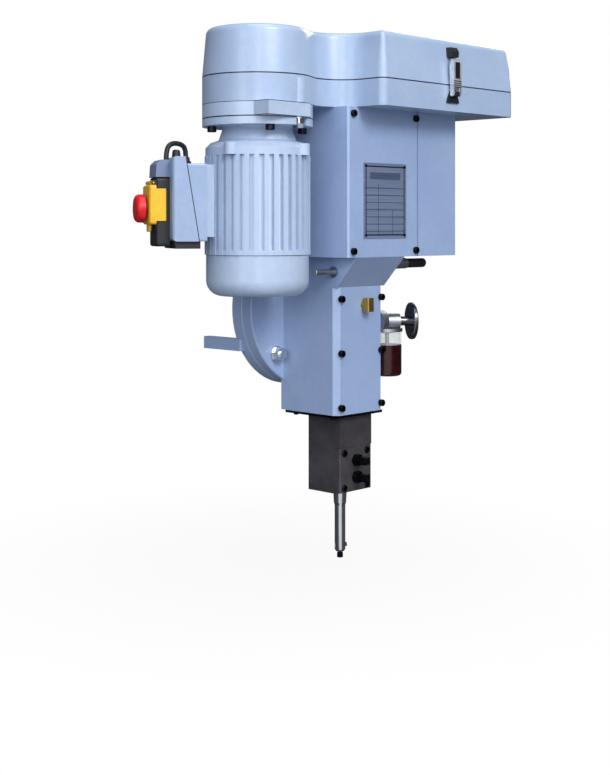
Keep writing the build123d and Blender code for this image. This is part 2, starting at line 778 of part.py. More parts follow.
# Vertical worm shaft; the thread is shown as round ribs
worm_shaft_low = gear_low + gear_wall + 1.5
pulley_top_z = pulley_base_z + step_h * len(pulley_steps)
with BuildPart() as worm_shaft:
    with BuildSketch(Plane.XY.offset(worm_shaft_low)):
        with Locations((worm_x, worm_y)):
            Circle(worm_shaft_r)
    extrude(amount=pulley_top_z + 6 - worm_shaft_low)
    rib_count = int(worm_length / worm_pitch)
    with BuildSketch(Plane.XZ.offset(-worm_y)):
        with BuildLine():
            low = crank_z - worm_length / 2
            points = [(worm_x, low)]
            for i in range(rib_count):
                z = low + i * worm_length / rib_count
                rise = worm_length / rib_count
                points += [
                    (worm_x + worm_r - wheel_tooth_h, z),
                    (worm_x + worm_r, z + rise * 0.25),
                    (worm_x + worm_r, z + rise * 0.5),
                    (worm_x + worm_r - wheel_tooth_h, z + rise * 0.75),
                ]
            points += [(worm_x + worm_r - wheel_tooth_h, low + worm_length), (worm_x, low + worm_length)]
            Polyline(*points, close=True)
        make_face()
    revolve(axis=Axis((worm_x, worm_y, 0), (0, 0, 1)))
write_piece(worm_shaft, "worm_shaft")


def step_pulley(x, y, radii, bore_r):
    """Stepped V-belt pulley on a vertical axis, smallest index lowest."""
    with BuildPart() as pulley:
        with BuildSketch(Plane.XZ.offset(-y)):
            with BuildLine():
                points = [(x + bore_r, pulley_base_z)]
                for i, r in enumerate(radii):
                    low = pulley_base_z + i * step_h
                    mid = low + step_h / 2
                    points += [
                        (x + r + 2, low),
                        (x + r + 2, mid - belt_w / 2 - 1),
                        (x + r - belt_h, mid - belt_w / 2 + 1.5),
                        (x + r - belt_h, mid + belt_w / 2 - 1.5),
                        (x + r + 2, mid + belt_w / 2 + 1),
                        (x + r + 2, low + step_h),
                    ]
                points += [(x + bore_r, pulley_base_z + step_h * len(radii))]
                Polyline(*points, close=True)
            make_face()
        revolve(axis=Axis((x, y, 0), (0, 0, 1)))
    return pulley.part


driven_steps = [driven_sum - r for r in reversed(pulley_steps)]
motor_steps = list(reversed(pulley_steps))
with BuildPart() as driven_pulley:
    add(step_pulley(worm_x, worm_y, driven_steps, worm_shaft_r + seat_gap))
write_piece(driven_pulley, "driven_pulley")

with BuildPart() as motor_pulley:
    add(step_pulley(motor_x, motor_y, motor_steps, motor_shaft_r + seat_gap))
write_piece(motor_pulley, "motor_pulley")

with BuildPart() as shaft_nuts:
    with BuildSketch(Plane.XY.offset(pulley_top_z)):
        with Locations((worm_x, worm_y)):
            RegularPolygon(18, 6)
            Circle(worm_shaft_r + seat_gap, mode=Mode.SUBTRACT)
    extrude(amount=5.5)
write_piece(shaft_nuts, "pulley_nut")


def belt_loop(grow, thickness, z):
    """Closed loop round both pulleys at the working step, as a flat plate."""
    with BuildPart() as loop:
        with BuildSketch(Plane.XY.offset(z)):
            with Locations((motor_x, motor_y)):
                Circle(motor_steps[-1] + grow)
            with Locations((worm_x, worm_y)):
                Circle(driven_steps[-1] + grow)
            make_hull()
        extrude(amount=thickness / 2, both=True)
    return loop.part


belt_mid_z = pulley_base_z + (len(pulley_steps) - 0.5) * step_h
with BuildPart() as drive_belt:
    add(belt_loop(1.5, belt_w - 3, belt_mid_z))
    add(belt_loop(-belt_h + 1, belt_w, belt_mid_z), mode=Mode.SUBTRACT)
write_piece(drive_belt, "drive_belt")

# Belt housing outline in plan: round motor end, concave waist, square right end
def belt_outline(inset=0.0):
    """Face of the plan outline, moved inwards by inset."""
    turn = radians(-waist_angle)
    start = (motor_x + round_end_r * cos(turn), motor_y + round_end_r * sin(turn))
    waist_x = belt_left_side - waist_r
    waist_start_x = waist_x - waist_r * cos(turn)
    waist_start_y = start[1] - (waist_start_x - start[0]) / tan(turn)
    waist_y = waist_start_y + waist_r * sin(turn)
    with BuildSketch() as outline:
        with BuildLine():
            round_end = CenterArc((motor_x, motor_y), round_end_r, 90, 270 - waist_angle)
            waist = CenterArc((waist_x, waist_y), waist_r, 180 - waist_angle, waist_angle - 180)
            Line(round_end @ 1, waist @ 0)
            Polyline(
                waist @ 1,
                (belt_left_side, -belt_front),
                (belt_right, -belt_front),
                (belt_right, -belt_back),
                (motor_x, -belt_back),
            )
        make_face()
        fillet(outline.vertices().filter_by(lambda v: v.Y < 1 - belt_front or v.X > belt_right - 1), corner_r)
        if inset:
            offset(amount=-inset)
    return outline.sketch


with BuildPart() as belt_housing:
    with BuildSketch(Plane.XY.offset(gear_top)):
        add(belt_outline())
    extrude(amount=belt_house_h)
    with BuildSketch(Plane.XY.offset(gear_top + belt_wall)):
        add(belt_outline(belt_wall))
    extrude(amount=belt_house_h, mode=Mode.SUBTRACT)
    # Boss for the motor clamp bolt
    with BuildSketch(Plane.XY.offset(gear_top)):
        with Locations((clamp_bolt_x, clamp_bolt_y)):
            Circle(clamp_boss_r)
    extrude(amount=belt_house_h - 5)
    with BuildSketch(Plane.XY.offset(gear_top)):
        with Locations((clamp_bolt_x, clamp_bolt_y)):
            Circle(m8_r + seat_gap)
    extrude(amount=clamp_hole_depth, mode=Mode.SUBTRACT)
    # Openings for the motor spigot and the worm shaft
    with BuildSketch(Plane.XY.offset(gear_top)):
        with Locations((motor_x, motor_y)):
            Circle(56)
        with Locations((worm_x, worm_y)):
            Circle(worm_shaft_r + 4)
    extrude(amount=belt_wall + 1, mode=Mode.SUBTRACT)
write_piece(belt_housing, "belt_housing")


def cover_block(inset, height, slant):
    """Lid body without its hollow: drafted sides and a slanted right end."""
    with BuildPart() as block:
        with BuildSketch(Plane.XY.offset(split_z + split_gap)):
            add(belt_outline(inset))
        extrude(amount=height, taper=cover_draft)
        with BuildSketch(Plane.XZ.offset(0)):
            with BuildLine():
                Polyline(
                    (belt_right - inset, split_z),
                    (belt_right - inset - slant, split_z + belt_cover_h),
                    (belt_right + 40, split_z + belt_cover_h),
                    (belt_right + 40, split_z),
                    close=True,
                )
            make_face()
        extrude(amount=2 * belt_front, mode=Mode.SUBTRACT)
    return block


with BuildPart() as belt_cover:
    lid = cover_block(0, belt_cover_h - split_gap, cover_end_slant)
    add(lid.part)
    fillet(belt_cover.faces().sort_by(Axis.Z)[-1].edges(), cover_edge_r)
    hollow = cover_block(belt_wall, belt_cover_h - split_gap - belt_wall, cover_end_slant)
    add(hollow.part, mode=Mode.SUBTRACT)
write_piece(belt_cover, "belt_cover")

# Hinges behind the lid: the housing's leaf holds the pin, the lid's leaf turns on it
hinge_x = (10.0, 190.0)
hinge_w = 40.0
hinge_pin_r = 2.5
hinge_r = 5.0
hinge_y = belt_back - hinge_r - 1.5
hinge_z = split_z + split_gap / 2
with BuildPart() as hinge_leaves:
    for x in hinge_x:
        with BuildSketch(facing_right(x - hinge_w / 4 + free_gap)):
            with Locations((-hinge_y, hinge_z)):
                Circle(hinge_r)
        extrude(amount=hinge_w / 2 - 2 * free_gap)
        with BuildSketch(facing_right(x - hinge_w / 4 + free_gap)):
            with Locations(((-hinge_y - belt_back) / 2, hinge_z - 10)):
                Rectangle(belt_back - hinge_y, 20 - 2 * split_gap)
        extrude(amount=hinge_w / 2 - 2 * free_gap)
        with BuildSketch(facing_right(x - hinge_w / 4 + free_gap)):
            with Locations((-hinge_y, hinge_z)):
                Circle(hinge_pin_r + seat_gap)
        extrude(amount=hinge_w / 2, mode=Mode.SUBTRACT)
        with BuildSketch(facing_right(x - hinge_w / 2 - 1)):
            with Locations((-hinge_y, hinge_z)):
                Circle(hinge_pin_r)
        extrude(amount=hinge_w + 2)
write_piece(hinge_leaves, "hinge_leaves")

with BuildPart() as lid_leaves:
    for x in hinge_x:
        for side in (-1, 1):
            low = x + side * hinge_w * 3 / 8 - hinge_w / 8
            with BuildSketch(facing_right(low)):
                with Locations((-hinge_y, hinge_z)):
                    Circle(hinge_r)
            extrude(amount=hinge_w / 4)
            with BuildSketch(facing_right(low)):
                with BuildLine():
                    Polyline(
                        (-hinge_y, hinge_z),
                        (-hinge_y, hinge_z + 20),
                        (-belt_back - (20 + split_gap / 2) * sin(radians(cover_draft)) - 0.2, hinge_z + 20),
                        (-belt_back - 0.1, hinge_z + split_gap),
                        (-belt_back + 0.4, hinge_z),
                        close=True,
                    )
                make_face()
            extrude(amount=hinge_w / 4)
            with BuildSketch(facing_right(low - 1)):
                with Locations((-hinge_y, hinge_z)):
                    Circle(hinge_pin_r + spin_gap)
            extrude(amount=hinge_w / 4 + 2, mode=Mode.SUBTRACT)
    add(cover_block(0, belt_cover_h - split_gap, cover_end_slant).part, mode=Mode.SUBTRACT)
write_piece(lid_leaves, "lid_leaves")

# Draw latch on the front: foot on the housing, lever with its bail, keeper on the lid
latch_x = 104.0
latch_foot_low = 304.0
latch_foot_top = 321.0
latch_pivot_z = 317.0
latch_pivot_y = belt_front + 7.0
latch_w = 24.0
keeper_low = 371.0
keeper_top = 386.0
latch_pin_r = 1.6
draft_slope = tan(radians(cover_draft))


def cover_front_at(z):
    """Distance of the lid's front face in front of the origin at a height."""
    return belt_front - (z - split_z - split_gap) * draft_slope


with BuildPart() as latch_foot:
    with BuildSketch(facing_front(belt_front)):
        with BuildLine():
            Polyline(
                (latch_x - latch_w / 2 - 2, latch_foot_low),
                (latch_x + latch_w / 2 + 2, latch_foot_low),
                (latch_x + latch_w / 2 + 1, latch_foot_low + 4),
                (latch_x + 7, latch_foot_top),
                (latch_x - 7, latch_foot_top),
                (latch_x - latch_w / 2 - 1, latch_foot_low + 4),
                close=True,
            )
        make_face()
    extrude(amount=3)
    with BuildSketch(facing_right(latch_x - 6)):
        with Locations((-latch_pivot_y + 2, latch_pivot_z)):
            Rectangle(10, 7)
    extrude(amount=12)
    with BuildSketch(facing_right(latch_x - 10)):
        with Locations((-latch_pivot_y, latch_pivot_z)):
            Circle(latch_pin_r + spin_gap)
    extrude(amount=20, mode=Mode.SUBTRACT)
write_piece(latch_foot, "latch_foot")

# Lever: two cheeks, a pin through the foot and a handle plate
with BuildPart() as latch_lever:
    with BuildSketch(facing_right(latch_x - 9)):
        with Locations((-latch_pivot_y, latch_pivot_z)):
            Circle(latch_pin_r)
    extrude(amount=18)
    with BuildSketch(facing_right(latch_x - 9)):
        with BuildLine():
            Polyline(
                (-latch_pivot_y - 4, latch_pivot_z + 1),
                (-latch_pivot_y - 3.4, latch_pivot_z),
                (-latch_pivot_y + 3, latch_pivot_z),
                (-latch_pivot_y + 3, latch_pivot_z + 8),
                (-belt_front - 3.4, latch_pivot_z + 14),
                (-belt_front - 2.4, keeper_low - 12),
                (-belt_front - 6, keeper_low - 2),
                (-latch_pivot_y - 4, keeper_low - 8),
                close=True,
            )
        make_face()
        with Locations((-latch_pivot_y, latch_pivot_z)):
            Circle(3.5)
    extrude(amount=18)
    with BuildSketch(facing_right(latch_x - 6 - free_gap)):
        with Locations((-latch_pivot_y + 3, latch_pivot_z)):
            Rectangle(16, 18)
    extrude(amount=12 + 2 * free_gap, mode=Mode.SUBTRACT)
    with BuildSketch(facing_right(latch_x - 9)):
        with Locations((-latch_pivot_y, latch_pivot_z)):
            Circle(latch_pin_r)
    extrude(amount=18)
write_piece(latch_lever, "latch_lever")

with BuildPart() as latch_keeper:
    with BuildSketch(facing_right(latch_x - 8)):
        with BuildLine():
            Polyline(
                (-cover_front_at(keeper_low), keeper_low),
                (-belt_front - 7, keeper_low + 1),
                (-belt_front - 7, keeper_low + 9),
                (-belt_front - 4, keeper_top),
                (-cover_front_at(keeper_top), keeper_top),
                close=True,
            )
        make_face()
    extrude(amount=16)
write_piece(latch_keeper, "latch_keeper")

# Motor plate: round, with the clamping lug, under the belt housing
plate_low = gear_top - plate_t


def motor_place(radius, angle, z):
    """Point at a radius and an angle about the motor axis."""
    return (motor_x + radius * cos(radians(angle)), motor_y + radius * sin(radians(angle)), z)


with BuildPart() as motor_plate:
    with BuildSketch(Plane.XY.offset(plate_low)):
        with Locations((motor_x, motor_y)):
            Circle(round_end_r)
        with Locations(((lug_left + lug_right) / 2, -(lug_front + lug_back) / 2)):
            Rectangle(lug_right - lug_left, lug_front - lug_back)
        with Locations((motor_x, motor_y)):
            Circle(56, mode=Mode.SUBTRACT)
        with Locations((clamp_bolt_x, clamp_bolt_y)):
            Circle(m8_r + 0.6, mode=Mode.SUBTRACT)
        with Locations((motor_x, motor_y)):
            with PolarLocations(66, 4, start_angle=ring_screw_angle):
                Circle(m8_r + seat_gap, mode=Mode.SUBTRACT)
    extrude(amount=plate_t)
write_piece(motor_plate, "motor_plate")

# Hex bolt that clamps the motor plate and the socket screws of the flange ring
flange_bolt_r = 66.0
ring_angles = [ring_screw_angle + 90 * i for i in range(4)]
with BuildPart() as motor_screws:
    bolt_plane = Plane(origin=(clamp_bolt_x, clamp_bolt_y, plate_low), x_dir=(1, 0, 0), z_dir=(0, 0, -1))
    with BuildSketch(bolt_plane):
        Circle(9.5)
        Circle(m8_r + seat_gap, mode=Mode.SUBTRACT)
    extrude(amount=2)
    with BuildSketch(bolt_plane.offset(2)):
        RegularPolygon(8.4, 6)
    extrude(amount=7)
    with BuildSketch(bolt_plane.offset(9)):
        RegularPolygon(8.0, 6, rotation=20)
    extrude(amount=6)
    with BuildSketch(bolt_plane.offset(15)):
        Circle(m8_r)
    extrude(amount=-(15 + plate_t + clamp_hole_depth - 2))
    for angle in ring_angles:
        place = motor_place(flange_bolt_r, angle, ring_bottom)
        add(cap_screw(Plane(origin=place, z_dir=(0, 0, -1)), m8_head_r, m8_head_h, m8_r, ring_t + 12))
write_piece(motor_screws, "motor_screws")

# Motor end bell with its flange ring, neck and shoulder
spigot_r = 55.9
bell_bore_r = spigot_r - 14
rear_low = frame_bottom + 0.5
ear_radius = motor_r - 2.5
bell_ear_r = 10.0
with BuildPart() as end_bells:
    with BuildSketch(Plane.XZ.offset(-motor_y)):
        with BuildLine():
            Polyline(
                (motor_x + motor_shaft_r + 2, plate_low + 3),
                (motor_x + spigot_r, plate_low + 3),
                (motor_x + spigot_r, plate_low),
                (motor_x + ring_r, plate_low),
                (motor_x + ring_r, ring_bottom),
                (motor_x + neck_high_r + 1, ring_bottom),
                (motor_x + neck_high_r, ring_bottom - 3),
                (motor_x + neck_low_r, shoulder_top + 2),
                (motor_x + motor_r - 8, shoulder_top - 2),
                (motor_x + motor_r - 1, shoulder_top - 9),
                (motor_x + motor_r - 1, frame_top),
                (motor_x + spigot_r, frame_top),
                (motor_x + bell_bore_r, frame_top + 6),
                (motor_x + bell_bore_r, shoulder_top - 4),
                (motor_x + motor_bearing_r + seat_gap, shoulder_top - 1),
                (motor_x + motor_bearing_r + seat_gap, shoulder_top + 13),
                (motor_x + motor_shaft_r + 2, shoulder_top + 13),
                close=True,
            )
        make_face()
    revolve(axis=Axis((motor_x, motor_y, 0), (0, 0, 1)))
    with BuildSketch(Plane.XY.offset(frame_top)):
        with Locations((motor_x, motor_y)):
            with PolarLocations(ear_radius, 4, start_angle=box_angle + 45):
                Circle(bell_ear_r)
    extrude(amount=shoulder_top - frame_top - 4)
    with BuildSketch(Plane.XY.offset(frame_top - 1)):
        with Locations((motor_x, motor_y)):
            Circle(spigot_r - 2)
    extrude(amount=5, mode=Mode.SUBTRACT)
    with BuildSketch(Plane.XY.offset(ring_bottom)):
        with Locations((motor_x, motor_y)):
            with PolarLocations(flange_bolt_r, 4, start_angle=ring_screw_angle):
                Circle(m8_r + seat_gap)
        with Locations((clamp_bolt_x, clamp_bolt_y), (clamp_bolt_x, clamp_bolt_y - 12)):
            Circle(10.5)
        with Locations((clamp_bolt_x, clamp_bolt_y - 6)):
            Rectangle(21, 12)
    extrude(amount=ring_t, mode=Mode.SUBTRACT)
    # Rear bell, inside the frame
    with BuildSketch(Plane.XZ.offset(-motor_y)):
        with BuildLine():
            Polyline(
                (motor_x + motor_shaft_r + 2, rear_low),
                (motor_x + spigot_r, rear_low),
                (motor_x + spigot_r, rear_low + 9),
                (motor_x + motor_bearing_r + 6, rear_low + 9),
                (motor_x + motor_bearing_r + 6, rear_low + 16),
                (motor_x + motor_bearing_r + seat_gap, rear_low + 16),
                (motor_x + motor_bearing_r + seat_gap, rear_low + 3),
                (motor_x + motor_shaft_r + 2, rear_low + 3),
                close=True,
            )
        make_face()
    revolve(axis=Axis((motor_x, motor_y, 0), (0, 0, 1)))
write_piece(end_bells, "end_bells")

# Finned motor frame with the pad of the terminal box
box_dir = (cos(radians(box_angle)), sin(radians(box_angle)), 0)
box_side = (-box_dir[1], box_dir[0], 0)
pad_plane = Plane(origin=(motor_x, motor_y, 0), x_dir=box_side, z_dir=box_dir)
pad_r = 83.0
pad_w = 56.0
foot_band_h = 7.0
with BuildPart() as motor_frame:
    with BuildSketch(Plane.XY.offset(frame_bottom)):
        with Locations((motor_x, motor_y)):
            Circle(fin_root_r)
            with PolarLocations((fin_root_r + motor_r) / 2 - 0.5, fin_count, start_angle=box_angle):
                Rectangle(motor_r - fin_root_r + 1, fin_t)
            Circle(spigot_r + 0.1, mode=Mode.SUBTRACT)
    extrude(amount=frame_top - frame_bottom)
    with BuildSketch(Plane.XY.offset(frame_bottom)):
        with Locations((motor_x, motor_y)):
            Circle(motor_r - 0.5)
            Circle(fin_root_r - 1, mode=Mode.SUBTRACT)
    extrude(amount=foot_band_h)
    with BuildSketch(pad_plane.offset(fin_root_r - 4)):
        with Locations((0, (box_bottom + box_top) / 2 - 2)):
            Rectangle(pad_w, box_top - box_bottom - 16)
    extrude(amount=pad_r - fin_root_r + 4)
write_piece(motor_frame, "motor_frame")

with BuildPart() as stator:
    with BuildSketch(Plane.XY.offset(frame_bottom + 20)):
        with Locations((motor_x, motor_y)):
            Circle(spigot_r)
            Circle(stator_inner_r, mode=Mode.SUBTRACT)
    extrude(amount=frame_top - frame_bottom - 40)
write_piece(stator, "stator")

# Rotor on the motor shaft
with BuildPart() as motor_rotor:
    with BuildSketch(Plane.XY.offset(frame_bottom + 22)):
        with Locations((motor_x, motor_y)):
            Circle(stator_inner_r - 0.5)
    extrude(amount=frame_top - frame_bottom - 44)
    with BuildSketch(Plane.XY.offset(fan_cover_bottom + 16)):
        with Locations((motor_x, motor_y)):
            Circle(motor_shaft_r)
    extrude(amount=pulley_top_z + 3 - fan_cover_bottom - 16)
write_piece(motor_rotor, "motor_rotor")

# Ball bearings of the crankshaft, the worm shaft and the motor
with BuildPart() as drive_bearings:
    for y in (wheel_back - 1, boss_back + bearing_w):
        add(ring_bearing(facing_back(y, 0, crank_z), bearing_r, shaft_r + spin_gap, bearing_w))
    for z in (gear_low + gear_wall + 1, gear_top - worm_bearing_w):
        place = Plane(origin=(worm_x, worm_y, z))
        add(ring_bearing(place, worm_bearing_r, worm_shaft_r + spin_gap, worm_bearing_w))
    for z in (rear_low + 3, shoulder_top):
        place = Plane(origin=(motor_x, motor_y, z))
        add(ring_bearing(place, motor_bearing_r, motor_shaft_r + spin_gap, bearing_w))
write_piece(drive_bearings, "drive_bearings")

fan_low = fan_cover_bottom + 20
with BuildPart() as cooling_fan:
    with BuildSketch(Plane.XY.offset(fan_low)):
        with Locations((motor_x, motor_y)):
            Circle(18)
    extrude(amount=26)
    with BuildSketch(Plane.XY.offset(fan_low + 22)):
        with Locations((motor_x, motor_y)):
            Circle(62)
    extrude(amount=3)
    with BuildSketch(Plane.XY.offset(fan_low)):
        with Locations((motor_x, motor_y)):
            with PolarLocations(39, 8):
                Rectangle(44, 2.5)
    extrude(amount=23)
    with BuildSketch(Plane.XY.offset(fan_low)):
        with Locations((motor_x, motor_y)):
            Circle(motor_shaft_r + seat_gap)
    extrude(amount=30, mode=Mode.SUBTRACT)
write_piece(cooling_fan, "cooling_fan")

# Fan cover: thin bowl with air slots in its floor
fan_cover_r = 72.5
fan_cover_edge = 22.0
with BuildPart() as fan_cover:
    with BuildSketch(Plane.XY.offset(fan_cover_bottom)):
        with Locations((motor_x, motor_y)):
            Circle(fan_cover_r)
    extrude(amount=frame_bottom - fan_cover_bottom)
    fillet(fan_cover.faces().sort_by(Axis.Z)[0].edges(), fan_cover_edge)
    offset(amount=-fan_cover_wall, openings=fan_cover.faces().sort_by(Axis.Z)[-1])
    with BuildSketch(Plane.XY.offset(fan_cover_bottom)):
        with Locations((motor_x, motor_y)):
            with PolarLocations(36, 16):
                SlotOverall(30, 5)
    extrude(amount=fan_cover_wall + 1, mode=Mode.SUBTRACT)
write_piece(fan_cover, "fan_cover")

# Terminal box: body on the motor, lid with a slanted seam
side_plane = Plane(
    origin=(motor_x - box_side[0] * box_w / 2, motor_y - box_side[1] * box_w / 2, 0),
    x_dir=box_dir,
    z_dir=box_side,
)
seam_top = box_out - box_lid_top_t
seam_low = box_out - box_lid_bottom_t
body_top = box_top - box_step
seam_body = seam_top - (seam_top - seam_low) * box_step / (box_top - box_bottom)
box_wall = 4.0


def box_point(out, side, up):
    """Point at a distance out from the motor axis, to the side and up."""
    x = motor_x + out * box_dir[0] + side * box_side[0]
    y = motor_y + out * box_dir[1] + side * box_side[1]
    return (x, y, up)


def box_slice(points, width, inset):
    """Solid from a profile of outward and upward distances, across the terminal box."""
    with BuildPart() as piece:
        with BuildSketch(side_plane.offset(inset)):
            with BuildLine():
                Polyline(*[(out, -up) for out, up in points], close=True)
            make_face()
        extrude(amount=width)
    return piece.part


with BuildPart() as terminal_box:
    box_outline = [(pad_r, box_bottom), (seam_low, box_bottom), (seam_body, body_top), (pad_r, body_top)]
    add(box_slice(box_outline, box_w, 0))
    fillet(terminal_box.edges().filter_by(Axis((0, 0, 0), box_dir)), 2.5)
    add(
        box_slice(
            [
                (pad_r + box_wall, box_bottom + box_wall),
                (seam_low + 2, box_bottom + box_wall),
                (seam_body + 2, body_top - box_wall),
                (pad_r + box_wall, body_top - box_wall),
            ],
            box_w - 2 * box_wall,
            box_wall,
        ),
        mode=Mode.SUBTRACT,
    )
write_piece(terminal_box, "terminal_box")

with BuildPart() as terminal_lid:
    lid_outline = [(seam_low, box_bottom), (box_out, box_bottom), (box_out, box_top), (seam_top, box_top)]
    add(box_slice(lid_outline, box_w, 0))
    fillet(terminal_lid.faces().sort_by(Axis((motor_x, motor_y, 0), box_dir))[-1].edges(), 6)
    add(
        box_slice(
            [
                (seam_low - 3, box_bottom + box_wall),
                (box_out - box_wall, box_bottom + box_wall),
                (box_out - box_wall, body_top - box_wall),
                (seam_body - 3, body_top - box_wall),
            ],
            box_w - 2 * box_wall,
            box_wall,
        ),
        mode=Mode.SUBTRACT,
    )
write_piece(terminal_lid, "terminal_lid")

# Black gland plate under the box and the gland of the switch conduit on top of it
gland_out = 101.5
gland_side = -8.0
gland_top = 218.0
dome_out = box_out - 11.0
dome_side = 14.0
dome_r = 6.2
dome_h = 10.4
with BuildPart() as cable_glands:
    add(
        box_slice(
            [
                (pad_r + 8, box_bottom - 10),
                (seam_low + 31, box_bottom - 10),
                (seam_low + 34, box_bottom),
                (pad_r + 8, box_bottom),
            ],
            box_w - 12,
            6,
        )
    )
    with BuildSketch(Plane(origin=box_point(gland_out, gland_side, body_top))):
        RegularPolygon(8, 6)
    extrude(amount=5)
    with BuildSketch(Plane(origin=box_point(gland_out, gland_side, body_top + 5))):
        Circle(6)
    extrude(amount=gland_top - body_top - 5, taper=8)
    with BuildSketch(Plane(origin=box_point(dome_out, dome_side, box_top))):
        Circle(dome_r)
    extrude(amount=dome_h, taper=6)
    fillet(cable_glands.faces().sort_by(Axis.Z)[-1].edges(), 3)
write_piece(cable_glands, "cable_glands")

# Switch on the box lid: black body, hood, flap with the stop knob
switch_half = 24.0
switch_t = 18.5
switch_h = 95.0
switch_drop = 7.0
switch_wall = 3.0
hood_h = 23.5
hood_chamfer = 6.0
flap_t = 9.6
flap_h = 54.0
flap_lift = 30.0
flap_lap = 13.0
flap_wall = 2.0
flap_barrel_r = 3.0
flap_pin_r = 1.2
ear_t = 3.0
knob_lift = 22.0
knob_r = 19.5
knob_t = 13.0
knob_stem_r = 5.0
knob_travel = 3.0
knob_stop = 0.5
button_spacing = 28.0
button_r = 6.5
button_h = 2.0
stem_in = 4.0
switch_bottom = box_bottom - switch_drop
switch_top = switch_bottom + switch_h
switch_mid = (switch_bottom + switch_top) / 2
switch_out = box_out + switch_t
hood_top = switch_top + hood_h
flap_bottom = switch_bottom + flap_lift
flap_top = flap_bottom + flap_h
flap_mid = (flap_bottom + flap_top) / 2
flap_out = switch_out + flap_t
knob_up = flap_bottom + knob_lift
knob_low = flap_out + knob_travel + knob_stop
hinge_out = switch_out + flap_barrel_r + 0.5
hinge_up = flap_top + flap_barrel_r + free_gap
flap_half = switch_half + flap_wall + free_gap
barrel_half = switch_half - 2 * ear_t
ear_mid = barrel_half + ear_t / 2 + 1.5
with BuildPart() as switch_body:
    with BuildSketch(pad_plane.offset(box_out)):
        with Locations((0, switch_mid)):
            RectangleRounded(2 * switch_half, switch_h, 5)
    extrude(amount=switch_t)
    chamfer(switch_body.faces().sort_by(Axis((motor_x, motor_y, 0), box_dir))[-1].edges(), 1.5)
    with BuildSketch(pad_plane.offset(box_out)):
        with Locations((0, switch_mid)):
            RectangleRounded(2 * (switch_half - switch_wall), switch_h - 2 * switch_wall, 3)
    extrude(amount=switch_t - switch_wall, mode=Mode.SUBTRACT)
    # Hinge ears of the flap
    for side in (-1, 1):
        with BuildSketch(side_plane.offset(box_w / 2 + side * ear_mid - ear_t / 2)):
            with Locations((hinge_out, -hinge_up)):
                Circle(flap_barrel_r)
            with Locations(((hinge_out + switch_out - 1) / 2, -hinge_up)):
                Rectangle(hinge_out - switch_out + 1, 2 * flap_barrel_r)
        extrude(amount=ear_t)
    with BuildSketch(side_plane.offset(box_w / 2 - flap_half)):
        with Locations((hinge_out, -hinge_up)):
            Circle(flap_pin_r + spin_gap)
    extrude(amount=2 * flap_half, mode=Mode.SUBTRACT)
write_piece(switch_body, "switch_body")

with BuildPart() as switch_hood:
    add(
        box_slice(
            [
                (box_out, switch_top),
                (switch_out + 1, switch_top),
                (switch_out, hood_top - hood_chamfer),
                (switch_out - hood_chamfer, hood_top),
                (box_out, hood_top),
            ],
            2 * switch_half,
            box_w / 2 - switch_half,
        )
    )
write_piece(switch_hood, "switch_hood")

# Push buttons under the flap, each in its collar
with BuildPart() as switch_buttons:
    for rise in (-button_spacing / 2, button_spacing / 2):
        with BuildSketch(pad_plane.offset(switch_out)):
            with Locations((0, flap_mid + rise)):
                Circle(button_r + 2.5)
                Circle(button_r + 0.5, mode=Mode.SUBTRACT)
        extrude(amount=button_h - 1)
        with BuildSketch(pad_plane.offset(switch_out)):
            with Locations((0, flap_mid + rise)):
                Circle(button_r)
        extrude(amount=button_h)
write_piece(switch_buttons, "switch_buttons")

# Flap: hollow box with a hinge barrel, a hasp below and the bore of the knob
with BuildPart() as switch_flap:
    with BuildSketch(pad_plane.offset(switch_out + free_gap)):
        with Locations((0, flap_mid)):
            RectangleRounded(2 * flap_half, flap_h, 4)
    extrude(amount=flap_t - free_gap)
    chamfer(switch_flap.faces().sort_by(Axis((motor_x, motor_y, 0), box_dir))[-1].edges(), 1.8)
    with BuildSketch(pad_plane.offset(switch_out)):
        with Locations((0, flap_mid)):
            RectangleRounded(2 * (flap_half - flap_wall), flap_h - 2 * flap_wall, 2)
    extrude(amount=flap_t - flap_wall, mode=Mode.SUBTRACT)
    # Side skirts that lap over the body
    for side in (-1, 1):
        with BuildSketch(pad_plane.offset(switch_out - flap_lap)):
            with Locations((side * (flap_half - flap_wall / 2), flap_mid)):
                Rectangle(flap_wall, flap_h - 10)
        extrude(amount=flap_lap + 1)
    with BuildSketch(side_plane.offset(box_w / 2 - barrel_half)):
        with Locations((hinge_out, -hinge_up)):
            Circle(flap_barrel_r)
        with Locations((hinge_out + flap_barrel_r / 2, -(flap_top + free_gap))):
            Rectangle(flap_barrel_r, 4)
    extrude(amount=2 * barrel_half)
    with BuildSketch(side_plane.offset(box_w / 2 - ear_mid - ear_t / 2)):
        with Locations((hinge_out, -hinge_up)):
            Circle(flap_pin_r)
    extrude(amount=2 * ear_mid + ear_t)
    with BuildSketch(pad_plane.offset(switch_out + 4)):
        with Locations((0, flap_bottom - 4)):
            RectangleRounded(14, 12, 3)
        with Locations((0, flap_bottom - 5)):
            Circle(2.5, mode=Mode.SUBTRACT)
    extrude(amount=4)
    with BuildSketch(pad_plane.offset(flap_out - flap_wall)):
        with Locations((0, knob_up)):
            Circle(knob_stem_r + spin_gap)
    extrude(amount=flap_wall, mode=Mode.SUBTRACT)
write_piece(switch_flap, "switch_flap")

with BuildPart() as stop_knob:
    with BuildSketch(pad_plane.offset(flap_out - stem_in)):
        with Locations((0, knob_up)):
            Circle(knob_stem_r)
    extrude(amount=knob_low - flap_out + stem_in + 0.5)
    with BuildSketch(pad_plane.offset(knob_low)):
        with Locations((0, knob_up)):
            Circle(knob_r)
    extrude(amount=knob_t)
    fillet(stop_knob.faces().sort_by(Axis((motor_x, motor_y, 0), box_dir))[-1].edges(), 6.5)
write_piece(stop_knob, "stop_knob")

